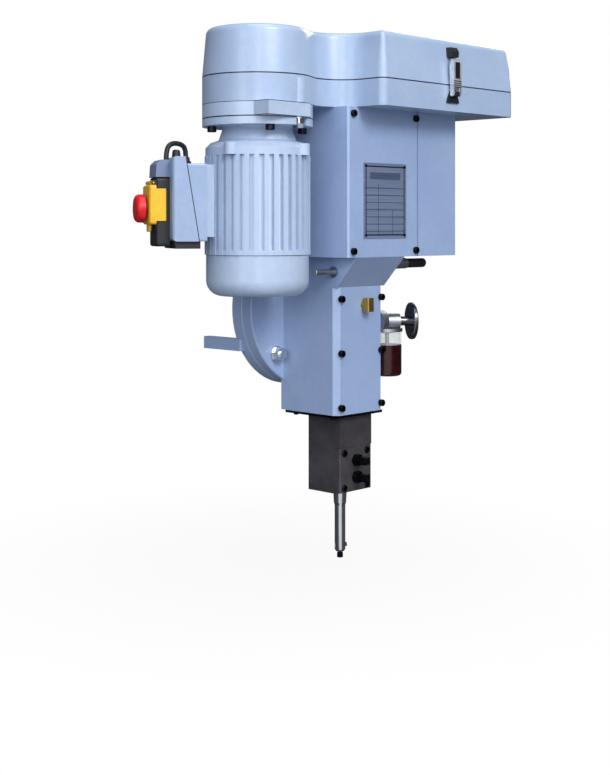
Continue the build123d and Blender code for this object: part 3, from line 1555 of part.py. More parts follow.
# Conduit from the hood over to the gland, as straight runs and tangent arcs
conduit_r = 3.5
conduit_start = box_point(box_out + conduit_r + 0.5, switch_half - 5, hood_top)
conduit_end = box_point(gland_out, gland_side, gland_top)
conduit_share = ((0.0, 14.0), (0.25, 23.5), (0.75, 23.5), (1.0, 17.0))
conduit_points = [conduit_start]
for share, rise in conduit_share:
    x = conduit_start[0] + share * (conduit_end[0] - conduit_start[0])
    y = conduit_start[1] + share * (conduit_end[1] - conduit_start[1])
    conduit_points.append((x, y, hood_top + rise))
conduit_points.append(conduit_end)
runs = [Vector(b) - Vector(a) for a, b in zip(conduit_points, conduit_points[1:])]
bends = []
for first, second in zip(runs, runs[1:]):
    half_turn = radians(first.get_angle(second)) / 2
    bends.append(0.45 * min(first.length, second.length) / tan(half_turn))
print("conduit bend radii", [round(r, 1) for r in bends])
with BuildPart() as switch_conduit:
    with BuildLine() as conduit_line:
        FilletPolyline(*conduit_points, radius=bends)
    with BuildSketch(Plane(origin=conduit_start)):
        Circle(conduit_r)
    sweep(path=conduit_line.line)
conduit_length = sum(edge.length for edge in conduit_line.edges())
section_volume = pi * conduit_r**2 * conduit_length
volume_ratio = switch_conduit.part.volume / section_volume
print("conduit length", round(conduit_length, 1), "volume", round(volume_ratio, 4))
write_piece(switch_conduit, "switch_conduit")

# Lubricator on the right wall of the ram housing
wall_x = ram_house_w / 2
oiler_y = -(ram_front - 5)
oiler_z = -22.0
oiler_r = 11.5
oiler_turn = 34.0
oiler_boss_r = 16.0
oiler_boss_t = 14.0
oiler_length = 30.0
oiler_neck_r = 7.0
oiler_reach = 46.0
oiler_knob_t = 7.0
oiler_knob_r = 28.0
cup_r = 22.0
cup_h = 67.0
cup_drop = 16.0
cup_wall = 2.0
cup_floor = 3.0
cup_x = wall_x + cup_r + 2.5
cup_top = oiler_z - cup_drop
cup_bottom = cup_top - cup_h
oiler_dir = (cos(radians(oiler_turn)), -sin(radians(oiler_turn)), 0)
oiler_origin = (wall_x + oiler_boss_t - 6, oiler_y, oiler_z)
oiler_plane = Plane(origin=oiler_origin, x_dir=(-oiler_dir[1], oiler_dir[0], 0), z_dir=oiler_dir)
with BuildPart() as oiler_body:
    with BuildSketch(Plane(origin=(wall_x, oiler_y, oiler_z), x_dir=(0, 1, 0), z_dir=(1, 0, 0))):
        Circle(oiler_boss_r)
    extrude(amount=oiler_boss_t)
    with BuildSketch(oiler_plane):
        Circle(oiler_r)
    extrude(amount=oiler_length)
    with BuildSketch(Plane.XY.offset(oiler_z)):
        with Locations((cup_x, oiler_y)):
            Circle(9)
    extrude(amount=cup_top - oiler_z - 2)
    with BuildSketch(Plane.XY.offset(cup_top)):
        with Locations((cup_x, oiler_y)):
            Circle(cup_r + 1.5)
    extrude(amount=5)
    with BuildSketch(Plane.XY.offset(cup_top)):
        with Locations((cup_x, oiler_y)):
            Circle(3)
    extrude(amount=-(cup_h - 8))
    with BuildSketch(oiler_plane.offset(8)):
        Circle(oiler_neck_r + spin_gap)
    extrude(amount=oiler_length - 8, mode=Mode.SUBTRACT)
write_piece(oiler_body, "oiler_body")

with BuildPart() as oiler_reservoir:
    with BuildSketch(Plane.XY.offset(cup_bottom)):
        with Locations((cup_x, oiler_y)):
            Circle(cup_r)
    extrude(amount=cup_h)
    fillet(oiler_reservoir.faces().sort_by(Axis.Z)[0].edges(), 5)
    with BuildSketch(Plane.XY.offset(cup_bottom + cup_floor)):
        with Locations((cup_x, oiler_y)):
            Circle(cup_r - cup_wall)
    extrude(amount=cup_h, mode=Mode.SUBTRACT)
write_piece(oiler_reservoir, "oiler_reservoir")

# Plunger of the lubricator with its dished pull knob
with BuildPart() as oiler_handle:
    with BuildSketch(oiler_plane.offset(9)):
        Circle(oiler_neck_r)
    extrude(amount=oiler_reach - 8)
    with BuildSketch(oiler_plane.offset(oiler_reach)):
        Circle(oiler_knob_r)
    extrude(amount=oiler_knob_t)
    fillet(oiler_handle.edges().filter_by(GeomType.CIRCLE).group_by(SortBy.RADIUS)[-1], 2)
    with BuildSketch(oiler_plane.offset(oiler_reach + oiler_knob_t)):
        Circle(oiler_knob_r - 3.5)
    extrude(amount=-4.5, taper=20, mode=Mode.SUBTRACT)
write_piece(oiler_handle, "oiler_handle")

# Brass oil fitting on the front plate with its thin pipe up to the slope
fitting_x = 7.0
fitting_y = -ram_house_front - 9.0
with BuildPart() as oil_fitting:
    with BuildSketch(facing_front(ram_house_front, fitting_x, 6)):
        RegularPolygon(8, 6)
    extrude(amount=5)
    with BuildSketch(facing_front(ram_house_front, fitting_x, 6)):
        Circle(5)
    extrude(amount=14)
    with BuildSketch(Plane.XY.offset(-4)):
        with Locations((fitting_x, fitting_y)):
            RectangleRounded(13, 11, 2)
    extrude(amount=20)
write_piece(oil_fitting, "oil_fitting")

# Steel spindle in the left wall and the spring lock in the right one
spindle_y = -144.8
spindle_z = 55.5
with BuildPart() as side_spindle:
    with BuildSketch(Plane(origin=(-wall_x, spindle_y, spindle_z), x_dir=(0, 1, 0), z_dir=(-1, 0, 0))):
        Circle(4.3)
    extrude(amount=41)
    chamfer(side_spindle.faces().sort_by(Axis.X)[0].edges(), 0.8)
    with BuildSketch(Plane(origin=(-wall_x, spindle_y, spindle_z), x_dir=(0, 1, 0), z_dir=(-1, 0, 0))):
        Circle(8)
    extrude(amount=3)
write_piece(side_spindle, "side_spindle")

lock_y = -165.0
lock_z = 66.0
lock_plane = Plane(origin=(wall_x, lock_y, lock_z), x_dir=(0, 1, 0), z_dir=(1, 0, 0))
with BuildPart() as lock_guide:
    with BuildSketch(lock_plane):
        Circle(8)
        Circle(4 + spin_gap, mode=Mode.SUBTRACT)
    extrude(amount=30)
write_piece(lock_guide, "lock_guide")

with BuildPart() as lock_plunger:
    with BuildSketch(lock_plane.offset(1)):
        Circle(4)
    extrude(amount=60)
    with BuildSketch(lock_plane.offset(31)):
        Circle(7)
    extrude(amount=44)
    fillet(lock_plunger.faces().sort_by(Axis.X)[-1].edges(), 3)
write_piece(lock_plunger, "lock_plunger")
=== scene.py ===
import bpy
import bmesh
from math import cos, pi, radians, sin
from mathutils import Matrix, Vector


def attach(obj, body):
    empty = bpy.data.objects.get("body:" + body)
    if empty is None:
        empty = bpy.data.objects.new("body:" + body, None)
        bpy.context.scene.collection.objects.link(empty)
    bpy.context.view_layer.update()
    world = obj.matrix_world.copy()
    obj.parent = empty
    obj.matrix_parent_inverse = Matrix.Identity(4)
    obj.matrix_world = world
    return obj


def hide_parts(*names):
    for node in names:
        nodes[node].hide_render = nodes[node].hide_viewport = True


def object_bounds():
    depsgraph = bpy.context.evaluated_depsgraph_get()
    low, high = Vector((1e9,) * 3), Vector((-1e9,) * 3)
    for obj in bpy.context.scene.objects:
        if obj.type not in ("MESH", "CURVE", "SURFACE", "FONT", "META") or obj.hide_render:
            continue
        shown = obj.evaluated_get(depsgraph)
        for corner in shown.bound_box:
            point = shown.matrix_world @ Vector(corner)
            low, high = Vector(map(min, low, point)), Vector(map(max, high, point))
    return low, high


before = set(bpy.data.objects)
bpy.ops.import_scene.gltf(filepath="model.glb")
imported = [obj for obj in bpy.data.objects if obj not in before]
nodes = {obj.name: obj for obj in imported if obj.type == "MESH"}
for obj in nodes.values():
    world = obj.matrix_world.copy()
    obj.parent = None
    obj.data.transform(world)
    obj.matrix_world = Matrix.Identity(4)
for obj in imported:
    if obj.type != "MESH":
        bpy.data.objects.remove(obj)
cad_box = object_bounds()
scene = bpy.context.scene

# Camera at the photograph's angle: level, 46 degrees to the left of the front
eye = Vector((-1.489, -1.468, 0.122))
look = Vector((0.7206, 0.693, 0.0))
picture_h = 775
focal_px = 1350
shift_px = 161.5
sensor_mm = 36
cam_data = bpy.data.cameras.new("camera")
cam_data.sensor_width = sensor_mm
cam_data.lens = focal_px / picture_h * sensor_mm
cam_data.shift_y = -shift_px / picture_h
camera = bpy.data.objects.new("camera", cam_data)
camera.location = eye
camera.rotation_euler = look.to_track_quat("-Z", "Y").to_euler()
scene.collection.objects.link(camera)
scene.camera = camera
scene.view_settings.view_transform = "Standard"


class Sock:
    """A shader socket that can be added, multiplied and so on in Python expressions."""

    def __init__(self, shade, socket):
        self.shade = shade
        self.socket = socket

    def maths(self, kind, *others):
        return self.shade.maths(kind, self, *others)

    def __add__(self, other):
        return self.maths("ADD", other)

    def __sub__(self, other):
        return self.maths("SUBTRACT", other)

    def __rsub__(self, other):
        return self.shade.maths("SUBTRACT", other, self)

    def __mul__(self, other):
        return self.maths("MULTIPLY", other)

    def __lt__(self, other):
        return self.maths("LESS_THAN", other)

    __radd__ = __add__
    __rmul__ = __mul__

    def power(self, other):
        return self.maths("POWER", other)

    def abs(self):
        return self.maths("ABSOLUTE")

    def sin(self):
        return self.maths("SINE")

    def fold(self, length):
        """Distance that runs up to the length and back again, over and over."""
        return self.maths("PINGPONG", length)

    def ramp(self, low, high, start=0.0, end=1.0, shape="SMOOTHSTEP"):
        """The start up to low and the end from high, with an eased or a straight run between."""
        limits = {"From Min": low, "From Max": high, "To Min": start, "To Max": end}
        node = self.shade.node("ShaderNodeMapRange", {"interpolation_type": shape}, {"Value": self} | limits)
        return Sock(self.shade, node.outputs[0])


class Shade:
    """A node tree that is filled through small calls."""

    def __init__(self, tree):
        self.tree = tree
        self.places = self.node("ShaderNodeTexCoord").outputs

    def node(self, kind, settings=None, inputs=None):
        """New node, with its settings made before the values or links of its sockets."""
        node = self.tree.nodes.new(kind)
        for key, value in (settings or {}).items():
            setattr(node, key, value)
        for key, value in (inputs or {}).items():
            self.feed(node.inputs[key], value)
        return node

    def feed(self, socket, value):
        if isinstance(value, Sock):
            value = value.socket
        if isinstance(value, bpy.types.NodeSocket):
            self.tree.links.new(value, socket)
        else:
            socket.default_value = value

    def maths(self, kind, *values):
        node = self.node("ShaderNodeMath", {"operation": kind}, dict(enumerate(values)))
        return Sock(self, node.outputs[0])

    def vectors(self, kind, *values):
        """Vector Math that ends in a vector."""
        node = self.node("ShaderNodeVectorMath", {"operation": kind}, dict(enumerate(values)))
        return node.outputs["Vector"]

    def measure(self, kind, *values):
        """Vector Math that ends in a number, such as a length."""
        node = self.node("ShaderNodeVectorMath", {"operation": kind}, dict(enumerate(values)))
        return Sock(self, node.outputs["Value"])

    def side(self, kind, index):
        """One component of a place or a normal."""
        node = self.node("ShaderNodeSeparateXYZ", None, {0: self.places[kind]})
        return Sock(self, node.outputs[index])

    def blend(self, fac, first, second):
        """Shader between the first and the second."""
        return self.node("ShaderNodeMixShader", None, {0: fac, 1: first, 2: second}).outputs[0]


class Mat(Shade):
    """A material with one principled shader."""

    def __init__(self, name, **constants):
        self.material = bpy.data.materials.new(name)
        self.material.use_nodes = True
        super().__init__(self.material.node_tree)
        self.coords = self.places["Object"]
        self.shader = self.tree.nodes["Principled BSDF"]
        for key, value in constants.items():
            self.set(key.replace("_", " "), value)

    def set(self, name, value):
        self.feed(self.shader.inputs[name], value)

    def axis(self, index):
        return self.side("Object", index)

    def scaled(self, scale):
        return self.node("ShaderNodeMapping", None, {"Vector": self.coords, "Scale": scale}).outputs[0]

    def noise(self, scale, detail=3.0, rough=0.5, vector=None):
        sizes = {"Scale": scale, "Detail": detail, "Roughness": rough}
        node = self.node("ShaderNodeTexNoise", None, {"Vector": vector or self.coords} | sizes)
        return Sock(self, node.outputs[0])

    def cells(self, scale):
        node = self.node("ShaderNodeTexVoronoi", None, {"Vector": self.coords, "Scale": scale})
        return Sock(self, node.outputs["Distance"])

    def mix(self, fac, first, second):
        """Colour between the first and the second, which are the node's sockets 6 and 7."""
        node = self.node("ShaderNodeMix", {"data_type": "RGBA"}, {0: fac, 6: first, 7: second})
        return Sock(self, node.outputs[2])

    def bump(self, height, strength, distance):
        sizes = {"Height": height, "Strength": strength, "Distance": distance}
        self.set("Normal", self.node("ShaderNodeBump", None, sizes).outputs[0])


# Sky that is bright behind the camera and above it, and plain white to the camera itself
world = bpy.data.worlds.new("world")
world.use_nodes = True
scene.world = world
world.node_tree.nodes.clear()
air = Shade(world.node_tree)
behind_camera = (-0.64, -0.77, 0)
across = air.measure("DOT_PRODUCT", air.places["Generated"], behind_camera).ramp(0.35, 0.98, 0.2, 1.7)
upward = air.side("Generated", 2).ramp(-0.15, 0.3, 0.05, 1.25, "LINEAR")
sky = air.node("ShaderNodeBackground", None, {"Color": (0.76, 0.84, 1.0, 1), "Strength": across * upward})
white_sky = air.node("ShaderNodeBackground", None, {"Color": (1, 1, 1, 1), "Strength": 1.0})
by_camera = air.node("ShaderNodeLightPath").outputs["Is Camera Ray"]
sky_blend = air.blend(by_camera, sky.outputs[0], white_sky.outputs[0])
air.node("ShaderNodeOutputWorld", None, {"Surface": sky_blend})


def area_light(name, place, target, size, power, colour=(1, 1, 1)):
    data = bpy.data.lights.new(name, "AREA")
    data.shape = "RECTANGLE"
    data.size = size[0]
    data.size_y = size[1]
    data.energy = power
    data.color = colour
    lamp = bpy.data.objects.new(name, data)
    lamp.location = place
    aim = Vector(target) - Vector(place)
    lamp.rotation_euler = aim.to_track_quat("-Z", "Y").to_euler()
    scene.collection.objects.link(lamp)


warm = (1, 0.98, 0.94)
area_light("key", (-0.6, -2.4, 1.7), (-0.05, -0.1, 0.1), (1.0, 0.9), 42, warm)
area_light("top", (-0.2, -0.5, 2.3), (-0.05, -0.1, 0.2), (1.2, 1.2), 16)
area_light("side", (-2.2, -0.6, 0.5), (-0.1, -0.1, 0.1), (0.5, 1.2), 5)
area_light("strip", (-1.9, -2.0, 0.75), (-0.05, -0.1, 0.05), (0.25, 1.9), 8, warm)
area_light("rim", (1.6, 0.4, 0.9), (0, -0.1, 0.1), (0.8, 0.8), 10)


def box_of(name):
    """Lowest and highest corner of a CAD node at rest."""
    points = [vertex.co for vertex in nodes[name].data.vertices]
    low = Vector([min(point[i] for point in points) for i in range(3)])
    high = Vector([max(point[i] for point in points) for i in range(3)])
    return low, high


# Places that the marks and the oil are set by, in metres and radians
rating_low, rating_high = box_of("rating_plate")
rating_mid = (rating_low + rating_high) / 2
belt_seam_z = box_of("belt_housing")[1].z
motor_plate_low, motor_plate_high = box_of("motor_plate")
fan_low, fan_high = box_of("fan_cover")
motor_axis = (fan_low + fan_high) / 2
fan_seam_z = fan_high.z + 0.0002
fin_root_r = 0.067
clamp_bolt = (-0.154, -0.171)
clamp_bolt_reach = 0.013
box_low, box_high = box_of("terminal_lid")
box_angle = radians(151)
box_out = 0.1305
box_lid_low_t = 0.0368
box_lid_high_t = 0.018
lever_low, lever_high = box_of("latch_lever")
lever_x = (lever_low.x + lever_high.x) / 2
lever_pad_z = 0.352
lever_spring_z = 0.3285
cup_low, cup_high = box_of("oiler_reservoir")
cup_r = 0.022
cup_x = cup_high.x - cup_r
cup_y = (cup_low.y + cup_high.y) / 2
oil_r = 0.0194
oil_stem_r = 0.0036
oil_low = cup_low.z + 0.0038
oil_level = -0.058


def rgb(red, green, blue):
    """Linear colour from display values of 0 to 255."""
    linear = []
    for value in (red / 255, green / 255, blue / 255):
        linear.append(value / 12.92 if value <= 0.04045 else ((value + 0.055) / 1.055) ** 2.4)
    return (*linear, 1)


def near(value, middle, half):
    """1 where the value lies within half of the middle."""
    return (value - middle).abs() < half


def level_seam_shade(*heights):
    """Painted shade line on the upright faces at each of the heights, where shade falls in the joint."""

    def mask(m):
        upright = m.side("Normal", 2).abs() < 0.5
        return sum(near(m.axis(2), height, 0.0009) for height in heights) * upright

    return mask


def box_seam_shade(m):
    """Painted shade line where the terminal lid meets its box, which leans outward towards the top."""
    out_x = cos(box_angle)
    out_y = sin(box_angle)
    out_from_motor = (m.axis(0) - motor_axis.x) * out_x + (m.axis(1) - motor_axis.y) * out_y
    lean = (box_lid_low_t - box_lid_high_t) / (box_high.z - box_low.z)
    seam_out = (m.axis(2) - box_low.z) * lean + (box_out - box_lid_low_t)
    edge_faces = (m.side("Normal", 0) * out_x + m.side("Normal", 1) * out_y).abs() < 0.5
    return ((out_from_motor - seam_out).abs() < 0.0007) * edge_faces


def hammered(name, colour, dark, grain=330.0, strength=0.16, seam_shade=None):
    """Machine paint with a fine orange-peel skin, faint staining and dusty patches, and painted shade on the
    seam lines when a seam mask is given.
    """
    m = Mat(name, Coat_Weight=0.5, Coat_Roughness=0.22, Specular_IOR_Level=0.5)
    clouds = m.noise(9.0, detail=4.0, rough=0.6)
    fine = m.noise(120.0, detail=2.0)
    face = m.mix((clouds * 0.7 + fine * 0.3).ramp(0.35, 0.72), dark, colour)
    # Painted shade: the seam lines are darkened to a deep blue-grey where the shade in the joint falls
    m.set("Base Color", m.mix(seam_shade(m), face, rgb(34, 38, 56)) if seam_shade else face)
    m.set("Roughness", m.noise(30.0, rough=0.6) * 0.18 + 0.3)
    skin = m.cells(grain) * 0.7 + m.noise(grain * 0.6, detail=2.0) * 0.6
    m.bump(skin, strength, 0.0006)
    return m.material


def metal(name, colour, dark, rough, stretch=(1, 1, 1), scale=600.0, strength=0.12, metallic=1.0):
    """Machined metal with fine tool marks along the axis that isn't stretched."""
    m = Mat(name, Metallic=metallic)
    marks = m.noise(scale, detail=2.0, rough=0.6, vector=m.scaled(stretch))
    stains = m.noise(14.0, detail=4.0, rough=0.65)
    m.set("Base Color", m.mix((stains * 0.8 + marks * 0.3).ramp(0.35, 0.75), dark, colour))
    m.set("Roughness", stains * 0.16 + marks * 0.12 + rough)
    m.bump(marks, strength, 0.0002)
    return m.material


def plastic(name, colour, dark, rough, grain=900.0, strength=0.15):
    """Moulded plastic with a fine spark-eroded grain and slight handling marks."""
    m = Mat(name, Specular_IOR_Level=0.5)
    smudge = m.noise(22.0, detail=4.0, rough=0.6)
    m.set("Base Color", m.mix(smudge.ramp(0.35, 0.7), dark, colour))
    m.set("Roughness", smudge * 0.2 + rough)
    m.bump(m.noise(grain, rough=0.6), strength, 0.0003)
    return m.material


def ruled_plate():
    """Rating plate: brushed face, dark border, dark heading and ruled fields."""
    margin = 0.004
    border = 0.0021
    row_gap = 0.0104
    line_half = 0.0004
    fields_top = 0.183
    short_field_top = 0.146
    heading_z = 0.1945
    m = Mat("rating plate", Metallic=0.6)
    x = m.axis(0)
    z = m.axis(2)
    half_w = (rating_high.x - rating_low.x) / 2 - margin
    half_h = (rating_high.z - rating_low.z) / 2 - margin
    framed = near(x, rating_mid.x, half_w) * near(z, rating_mid.z, half_h)
    inner = near(x, rating_mid.x, half_w - border) * near(z, rating_mid.z, half_h - border)
    rows = near((z - rating_low.z).fold(row_gap / 2), 0.0, 0.00042) * (z < fields_top)
    long_column = near(x, -0.008, line_half) * (z < fields_top)
    short_column = near(x, 0.024, line_half) * (z < short_field_top)
    heading = near(z, heading_z, 0.0052) * near(x, rating_mid.x, 0.034)
    ink = (framed - inner + (rows + long_column + short_column) * inner + heading * 0.55).ramp(0.0, 1.0)
    brushed = m.noise(500.0, detail=2.0, rough=0.6, vector=m.scaled((0.03, 1, 1)))
    face = m.mix(brushed.ramp(0.3, 0.7), rgb(140, 156, 186), rgb(158, 174, 202))
    m.set("Base Color", m.mix(ink, face, rgb(44, 52, 84)))
    m.set("Roughness", brushed * 0.14 + 0.32)
    m.bump(ink, 0.15, 0.0002)
    return m.material


def screw_mix():
    """Black flange screws beside the bright hexagon clamp bolt, told apart by their place."""
    m = Mat("bright and black screws", Metallic=1.0)
    beside = near(m.axis(0), clamp_bolt[0], clamp_bolt_reach)
    bright = near(m.axis(1), clamp_bolt[1], clamp_bolt_reach) * beside
    marks = m.noise(300.0, detail=2.0, rough=0.6)
    m.set("Base Color", m.mix(bright, rgb(48, 48, 54), rgb(205, 207, 212)))
    m.set("Roughness", marks * 0.1 - bright * 0.22 + 0.36)
    m.bump(marks, 0.06, 0.0002)
    return m.material


def clear_cup():
    """Clear plastic of the oil cup with a light haze, stained by the oil up to its level."""
    m = Mat("clear cup", Transmission_Weight=0.0, IOR=1.45, Specular_IOR_Level=0.6)
    haze = m.noise(40.0, rough=0.6)
    wet = m.axis(2) < oil_level
    clear = m.mix(haze.ramp(0.3, 0.7), rgb(214, 214, 212), rgb(232, 232, 232))
    stain = m.mix(haze.ramp(0.3, 0.7), rgb(14, 4, 5), rgb(60, 8, 10))
    m.set("Base Color", m.mix(wet, clear, stain))
    m.set("Alpha", haze * 0.1 + wet * 0.7 + 0.15)
    m.set("Roughness", haze * 0.1 + 0.06)
    m.bump(haze, 0.03, 0.0002)
    return m.material


def dark_oil():
    """Dark red-brown oil that shows through the cup."""
    m = Mat("oil", Coat_Weight=0.6, Coat_Roughness=0.05)
    depth = m.noise(60.0, rough=0.6)
    m.set("Base Color", m.mix(depth.ramp(0.3, 0.7), rgb(24, 6, 8), rgb(66, 14, 14)))
    m.set("Roughness", depth * 0.1 + 0.12)
    return m.material


def latch_face():
    """Chromed latch lever with a black pad and the coils of its spring below."""
    coil_rate = 2100.0
    m = Mat("chrome latch")
    z = m.axis(2)
    front = m.side("Normal", 1) < -0.6
    pad = near(m.axis(0), lever_x, 0.0055) * near(z, lever_pad_z, 0.0125) * front
    coils = (z * coil_rate).sin().ramp(-0.2, 0.4) * near(z, lever_spring_z, 0.0085) * front
    ink = (pad + coils).ramp(0.0, 1.0)
    wear = m.noise(90.0, rough=0.6)
    chromed = m.mix(wear.ramp(0.3, 0.7), rgb(206, 208, 212), rgb(228, 229, 232))
    m.set("Base Color", m.mix(ink, chromed, rgb(16, 16, 18)))
    m.set("Metallic", 0.65 * (1 - pad))
    m.set("Roughness", pad * 0.3 + wear * 0.06 + 0.08)
    m.bump(ink, 0.3, -0.0004)
    return m.material


def fin_paint():
    """Motor paint with painted light in the gaps between the fins, lighter there to take out the shade that
    falls in them.
    """
    m = Mat("finned motor paint", Coat_Weight=0.4, Coat_Roughness=0.25)
    x = m.axis(0) - motor_axis.x
    y = m.axis(1) - motor_axis.y
    out_from_motor = (x * x + y * y).power(0.5)
    clouds = m.noise(9.0, detail=4.0, rough=0.6)
    skin = m.noise(160.0)
    # The fin face colours are a lighter copy of the machine paint, painted light like the motor paint
    face = m.mix((clouds * 0.7 + skin * 0.3).ramp(0.35, 0.72), rgb(172, 189, 214), rgb(184, 200, 222))
    # Painted light: the fin gaps near the root get a near-white blue in place of their shade
    on_fin = out_from_motor.ramp(fin_root_r - 0.0002, fin_root_r + 0.0045)
    m.set("Base Color", m.mix(on_fin, rgb(212, 224, 240), face))
    m.set("Roughness", clouds * 0.18 + 0.3)
    m.bump(skin, 0.12, 0.0005)
    return m.material


# Paints
paint = hammered("blue machine paint", rgb(160, 179, 210), rgb(149, 169, 203))
# Painted shade lines at the belt housing's split and at the motor plate and fan cover joints
lid_seam_shade = level_seam_shade(belt_seam_z)
# The lid paint is a lighter copy of the machine paint: painted light for the brighter light on the belt
# housing and its cover
lid_paint = hammered("blue lid paint", rgb(170, 188, 212), rgb(160, 179, 206), seam_shade=lid_seam_shade)
motor_seam_shade = level_seam_shade(motor_plate_high.z, motor_plate_low.z, fan_seam_z)
# The motor paint is a lighter copy again: painted light for the bright light on the motor
motor_paint = hammered("blue motor paint", rgb(186, 202, 223), rgb(175, 192, 216), 260.0, 0.12, motor_seam_shade)
# The box paint carries a painted shade line at the lid's seam
box_paint = hammered("blue box paint", rgb(158, 178, 205), rgb(147, 167, 197), 300.0, 0.1, box_seam_shade)
fins = fin_paint()

# Metals
bright_chrome = {"scale": 200.0, "strength": 0.03}
blackened = {"stretch": (1, 1, 6), "scale": 420.0, "strength": 0.1}
ground_finish = {"stretch": (1, 1, 9), "strength": 0.008}
ground = metal("ground steel", rgb(212, 214, 220), rgb(188, 190, 196), 0.0, **ground_finish)
dark = metal("blackened steel", rgb(40, 40, 44), rgb(24, 24, 27), 0.34, **blackened)
phosphated = metal("phosphated steel", rgb(78, 74, 78), rgb(52, 48, 50), 0.36, metallic=0.1, **blackened)
steel = metal("turned steel", rgb(186, 188, 192), rgb(150, 152, 158), 0.26, stretch=(6, 1, 1))
chrome = metal("chrome", rgb(214, 216, 220), rgb(188, 190, 196), 0.08, **bright_chrome)
dark_chrome = metal("dark chrome", rgb(120, 120, 126), rgb(92, 92, 98), 0.1, **bright_chrome)
iron = metal("machined iron", rgb(120, 120, 122), rgb(86, 86, 88), 0.42, scale=380.0, strength=0.2)
bronze = metal("bronze", rgb(184, 142, 82), rgb(150, 110, 60), 0.32)
brass = metal("brass", rgb(196, 166, 88), rgb(160, 130, 66), 0.3)
copper = metal("wound copper", rgb(160, 96, 62), rgb(110, 62, 40), 0.4)
latch = latch_face()
screws = screw_mix()
plate = ruled_plate()

# Plastics, rubber and oil
black = plastic("black plastic", rgb(30, 30, 33), rgb(20, 20, 23), 0.42)
hood = plastic("blue-grey plastic", rgb(128, 142, 172), rgb(114, 128, 158), 0.45)
yellow = plastic("yellow plastic", rgb(246, 196, 44), rgb(234, 178, 30), 0.28, 500.0, 0.06)
red = plastic("red plastic", rgb(228, 12, 24), rgb(204, 6, 18), 0.3, 500.0, 0.05)
rubber = plastic("rubber", rgb(32, 32, 33), rgb(22, 22, 23), 0.6, 400.0, 0.3)
cup = clear_cup()
oil = dark_oil()

finishes = {
    paint: "ram_housing ram_front_plate gear_housing gear_front_plate bearing_cap swivel_base",
    lid_paint: "belt_housing belt_cover",
    motor_paint: "motor_plate end_bells fan_cover",
    box_paint: "terminal_box terminal_lid",
    ground: "tool_bar tool_bit",
    dark: "clamp_screws set_bolts bit_screw way_wiper plate_screws pulley_nut small_screws",
    phosphated: "ram clamp_plate",
    steel: "wrist_pin drive_bearings crank_pin worm_shaft hinge_leaves lid_leaves "
    "motor_rotor oiler_body side_spindle lock_guide",
    chrome: "swivel_bolts",
    latch: "latch_lever",
    fins: "motor_frame",
    screws: "motor_screws",
    dark_chrome: "oiler_handle",
    cup: "oiler_reservoir",
    iron: "connecting_rod crankshaft driven_pulley motor_pulley",
    bronze: "worm_wheel",
    brass: "oil_fitting",
    copper: "stator",
    plate: "rating_plate",
    black: "latch_foot latch_keeper cooling_fan cable_glands switch_body switch_buttons lock_plunger",
    hood: "switch_hood",
    yellow: "switch_flap",
    red: "stop_knob",
    rubber: "drive_belt",
}
for material, names in finishes.items():
    for name in names.split():
        data = nodes[name].data
        data.materials.clear()
        data.materials.append(material)

# Soft edges of the castings and covers
edge_widths = {
    "ram_housing": 0.0015,
    "ram_front_plate": 0.001,
    "gear_housing": 0.0012,
    "gear_front_plate": 0.0008,
    "swivel_base": 0.0008,
    "belt_housing": 0.0012,
    "motor_plate": 0.0015,
    "terminal_box": 0.0012,
    "switch_hood": 0.002,
    "switch_flap": 0.0008,
    "ram": 0.0008,
    "clamp_plate": 0.0006,
    "latch_lever": 0.0005,
    "latch_keeper": 0.0006,
}
for name, width in edge_widths.items():
    soft = nodes[name].modifiers.new("soft edges", "BEVEL")
    soft.width = width
    soft.segments = 2
    soft.limit_method = "ANGLE"
    soft.angle_limit = radians(50)
    soft.harden_normals = True

# Conduit from the switch hood to the gland
conduit_d = 0.007
conduit_path = [
    (-0.289848, -0.051411, 0.2125),
    (-0.289848, -0.051411, 0.2265),
    (-0.27936, -0.049507, 0.236),
    (-0.258383, -0.045699, 0.236),
    (-0.247895, -0.043795, 0.2295),
    (-0.247895, -0.043795, 0.218),
]
curve = bpy.data.curves.new("switch_conduit", "CURVE")
curve.dimensions = "3D"
spline = curve.splines.new("NURBS")
spline.points.add(len(conduit_path) - 1)
for point, place in zip(spline.points, conduit_path):
    point.co = (*place, 1)
spline.order_u = 3
spline.use_endpoint_u = True
spline.resolution_u = 24
curve.bevel_depth = conduit_d / 2
curve.bevel_resolution = 6
conduit = bpy.data.objects.new("conduit", curve)
scene.collection.objects.link(conduit)
curve.materials.append(black)
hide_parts("switch_conduit")
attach(conduit, "head")


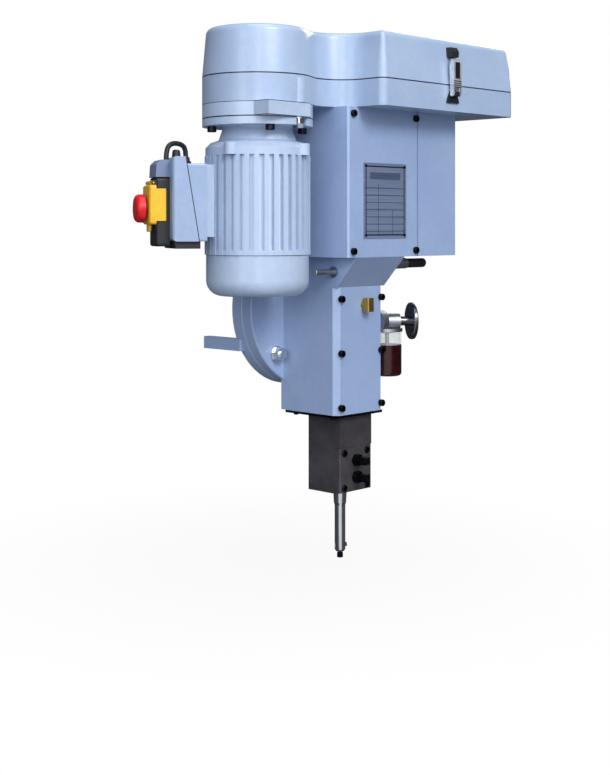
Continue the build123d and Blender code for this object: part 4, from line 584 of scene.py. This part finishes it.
def piece_from(bm, name, material):
    """Piece at the origin with the shape that was made and one material."""
    mesh = bpy.data.meshes.new(name)
    bm.to_mesh(mesh)
    bm.free()
    mesh.materials.append(material)
    piece = bpy.data.objects.new(name, mesh)
    scene.collection.objects.link(piece)
    return piece


# Oil in the cup, filled to about two thirds, round the stem in the middle
profile = ((oil_stem_r, oil_low), (oil_r, oil_low), (oil_r, oil_level), (oil_stem_r, oil_level))
bm = bmesh.new()
corners = [bm.verts.new((cup_x + r, cup_y, z)) for r, z in profile]
outline = [bm.edges.new((first, second)) for first, second in zip(corners, corners[1:] + corners[:1])]
cup_axis = {"cent": (cup_x, cup_y, 0), "axis": (0, 0, 1)}
bmesh.ops.spin(bm, geom=outline, angle=2 * pi, steps=48, use_merge=True, **cup_axis)
bmesh.ops.recalc_face_normals(bm, faces=bm.faces)
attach(piece_from(bm, "oil", oil), "head")

# Floor: white to the camera, dim to the part, and a painted reflection for the steel: near black, with a
# glowing patch on the camera's side
floor_z = cad_box[0][2] - 0.02
tool_foot = (0.0, -0.14, floor_z)
towards_camera = (-0.72, -0.69, 0)
floor_mat = Mat("floor", Roughness=0.9)
rays = floor_mat.node("ShaderNodeLightPath").outputs
seen = Sock(floor_mat, rays["Is Camera Ray"])
mirrored = Sock(floor_mat, rays["Is Glossy Ray"])
# Painted reflection: the floor's colour drops to near black for glossy rays, so the steel mirrors a dark
# floor
floor_mat.set("Base Color", floor_mat.mix(mirrored, (0.26, 0.27, 0.29, 1), (0.05, 0.05, 0.06, 1)))
far = floor_mat.measure("LENGTH", floor_mat.coords).ramp(0.05, 0.8) * 0.12 + 0.88
bearing = floor_mat.vectors("NORMALIZE", floor_mat.vectors("SUBTRACT", floor_mat.coords, tool_foot))
# Painted reflection: a patch of floor on the camera's side glows white in glossy rays only, a bright band on
# the steel
glow = floor_mat.measure("DOT_PRODUCT", bearing, towards_camera).ramp(0.72, 0.97)
white = floor_mat.node("ShaderNodeEmission", None, {"Color": (1, 1, 1, 1), "Strength": 1.0})
lit = floor_mat.blend(far * seen + glow * mirrored, floor_mat.shader.outputs[0], white.outputs[0])
floor_mat.feed(floor_mat.tree.nodes["Material Output"].inputs["Surface"], lit)
bm = bmesh.new()
bmesh.ops.create_grid(bm, x_segments=1, y_segments=1, size=12)
bmesh.ops.translate(bm, verts=bm.verts, vec=(0, 0, floor_z))
piece_from(bm, "floor", floor_mat.material)
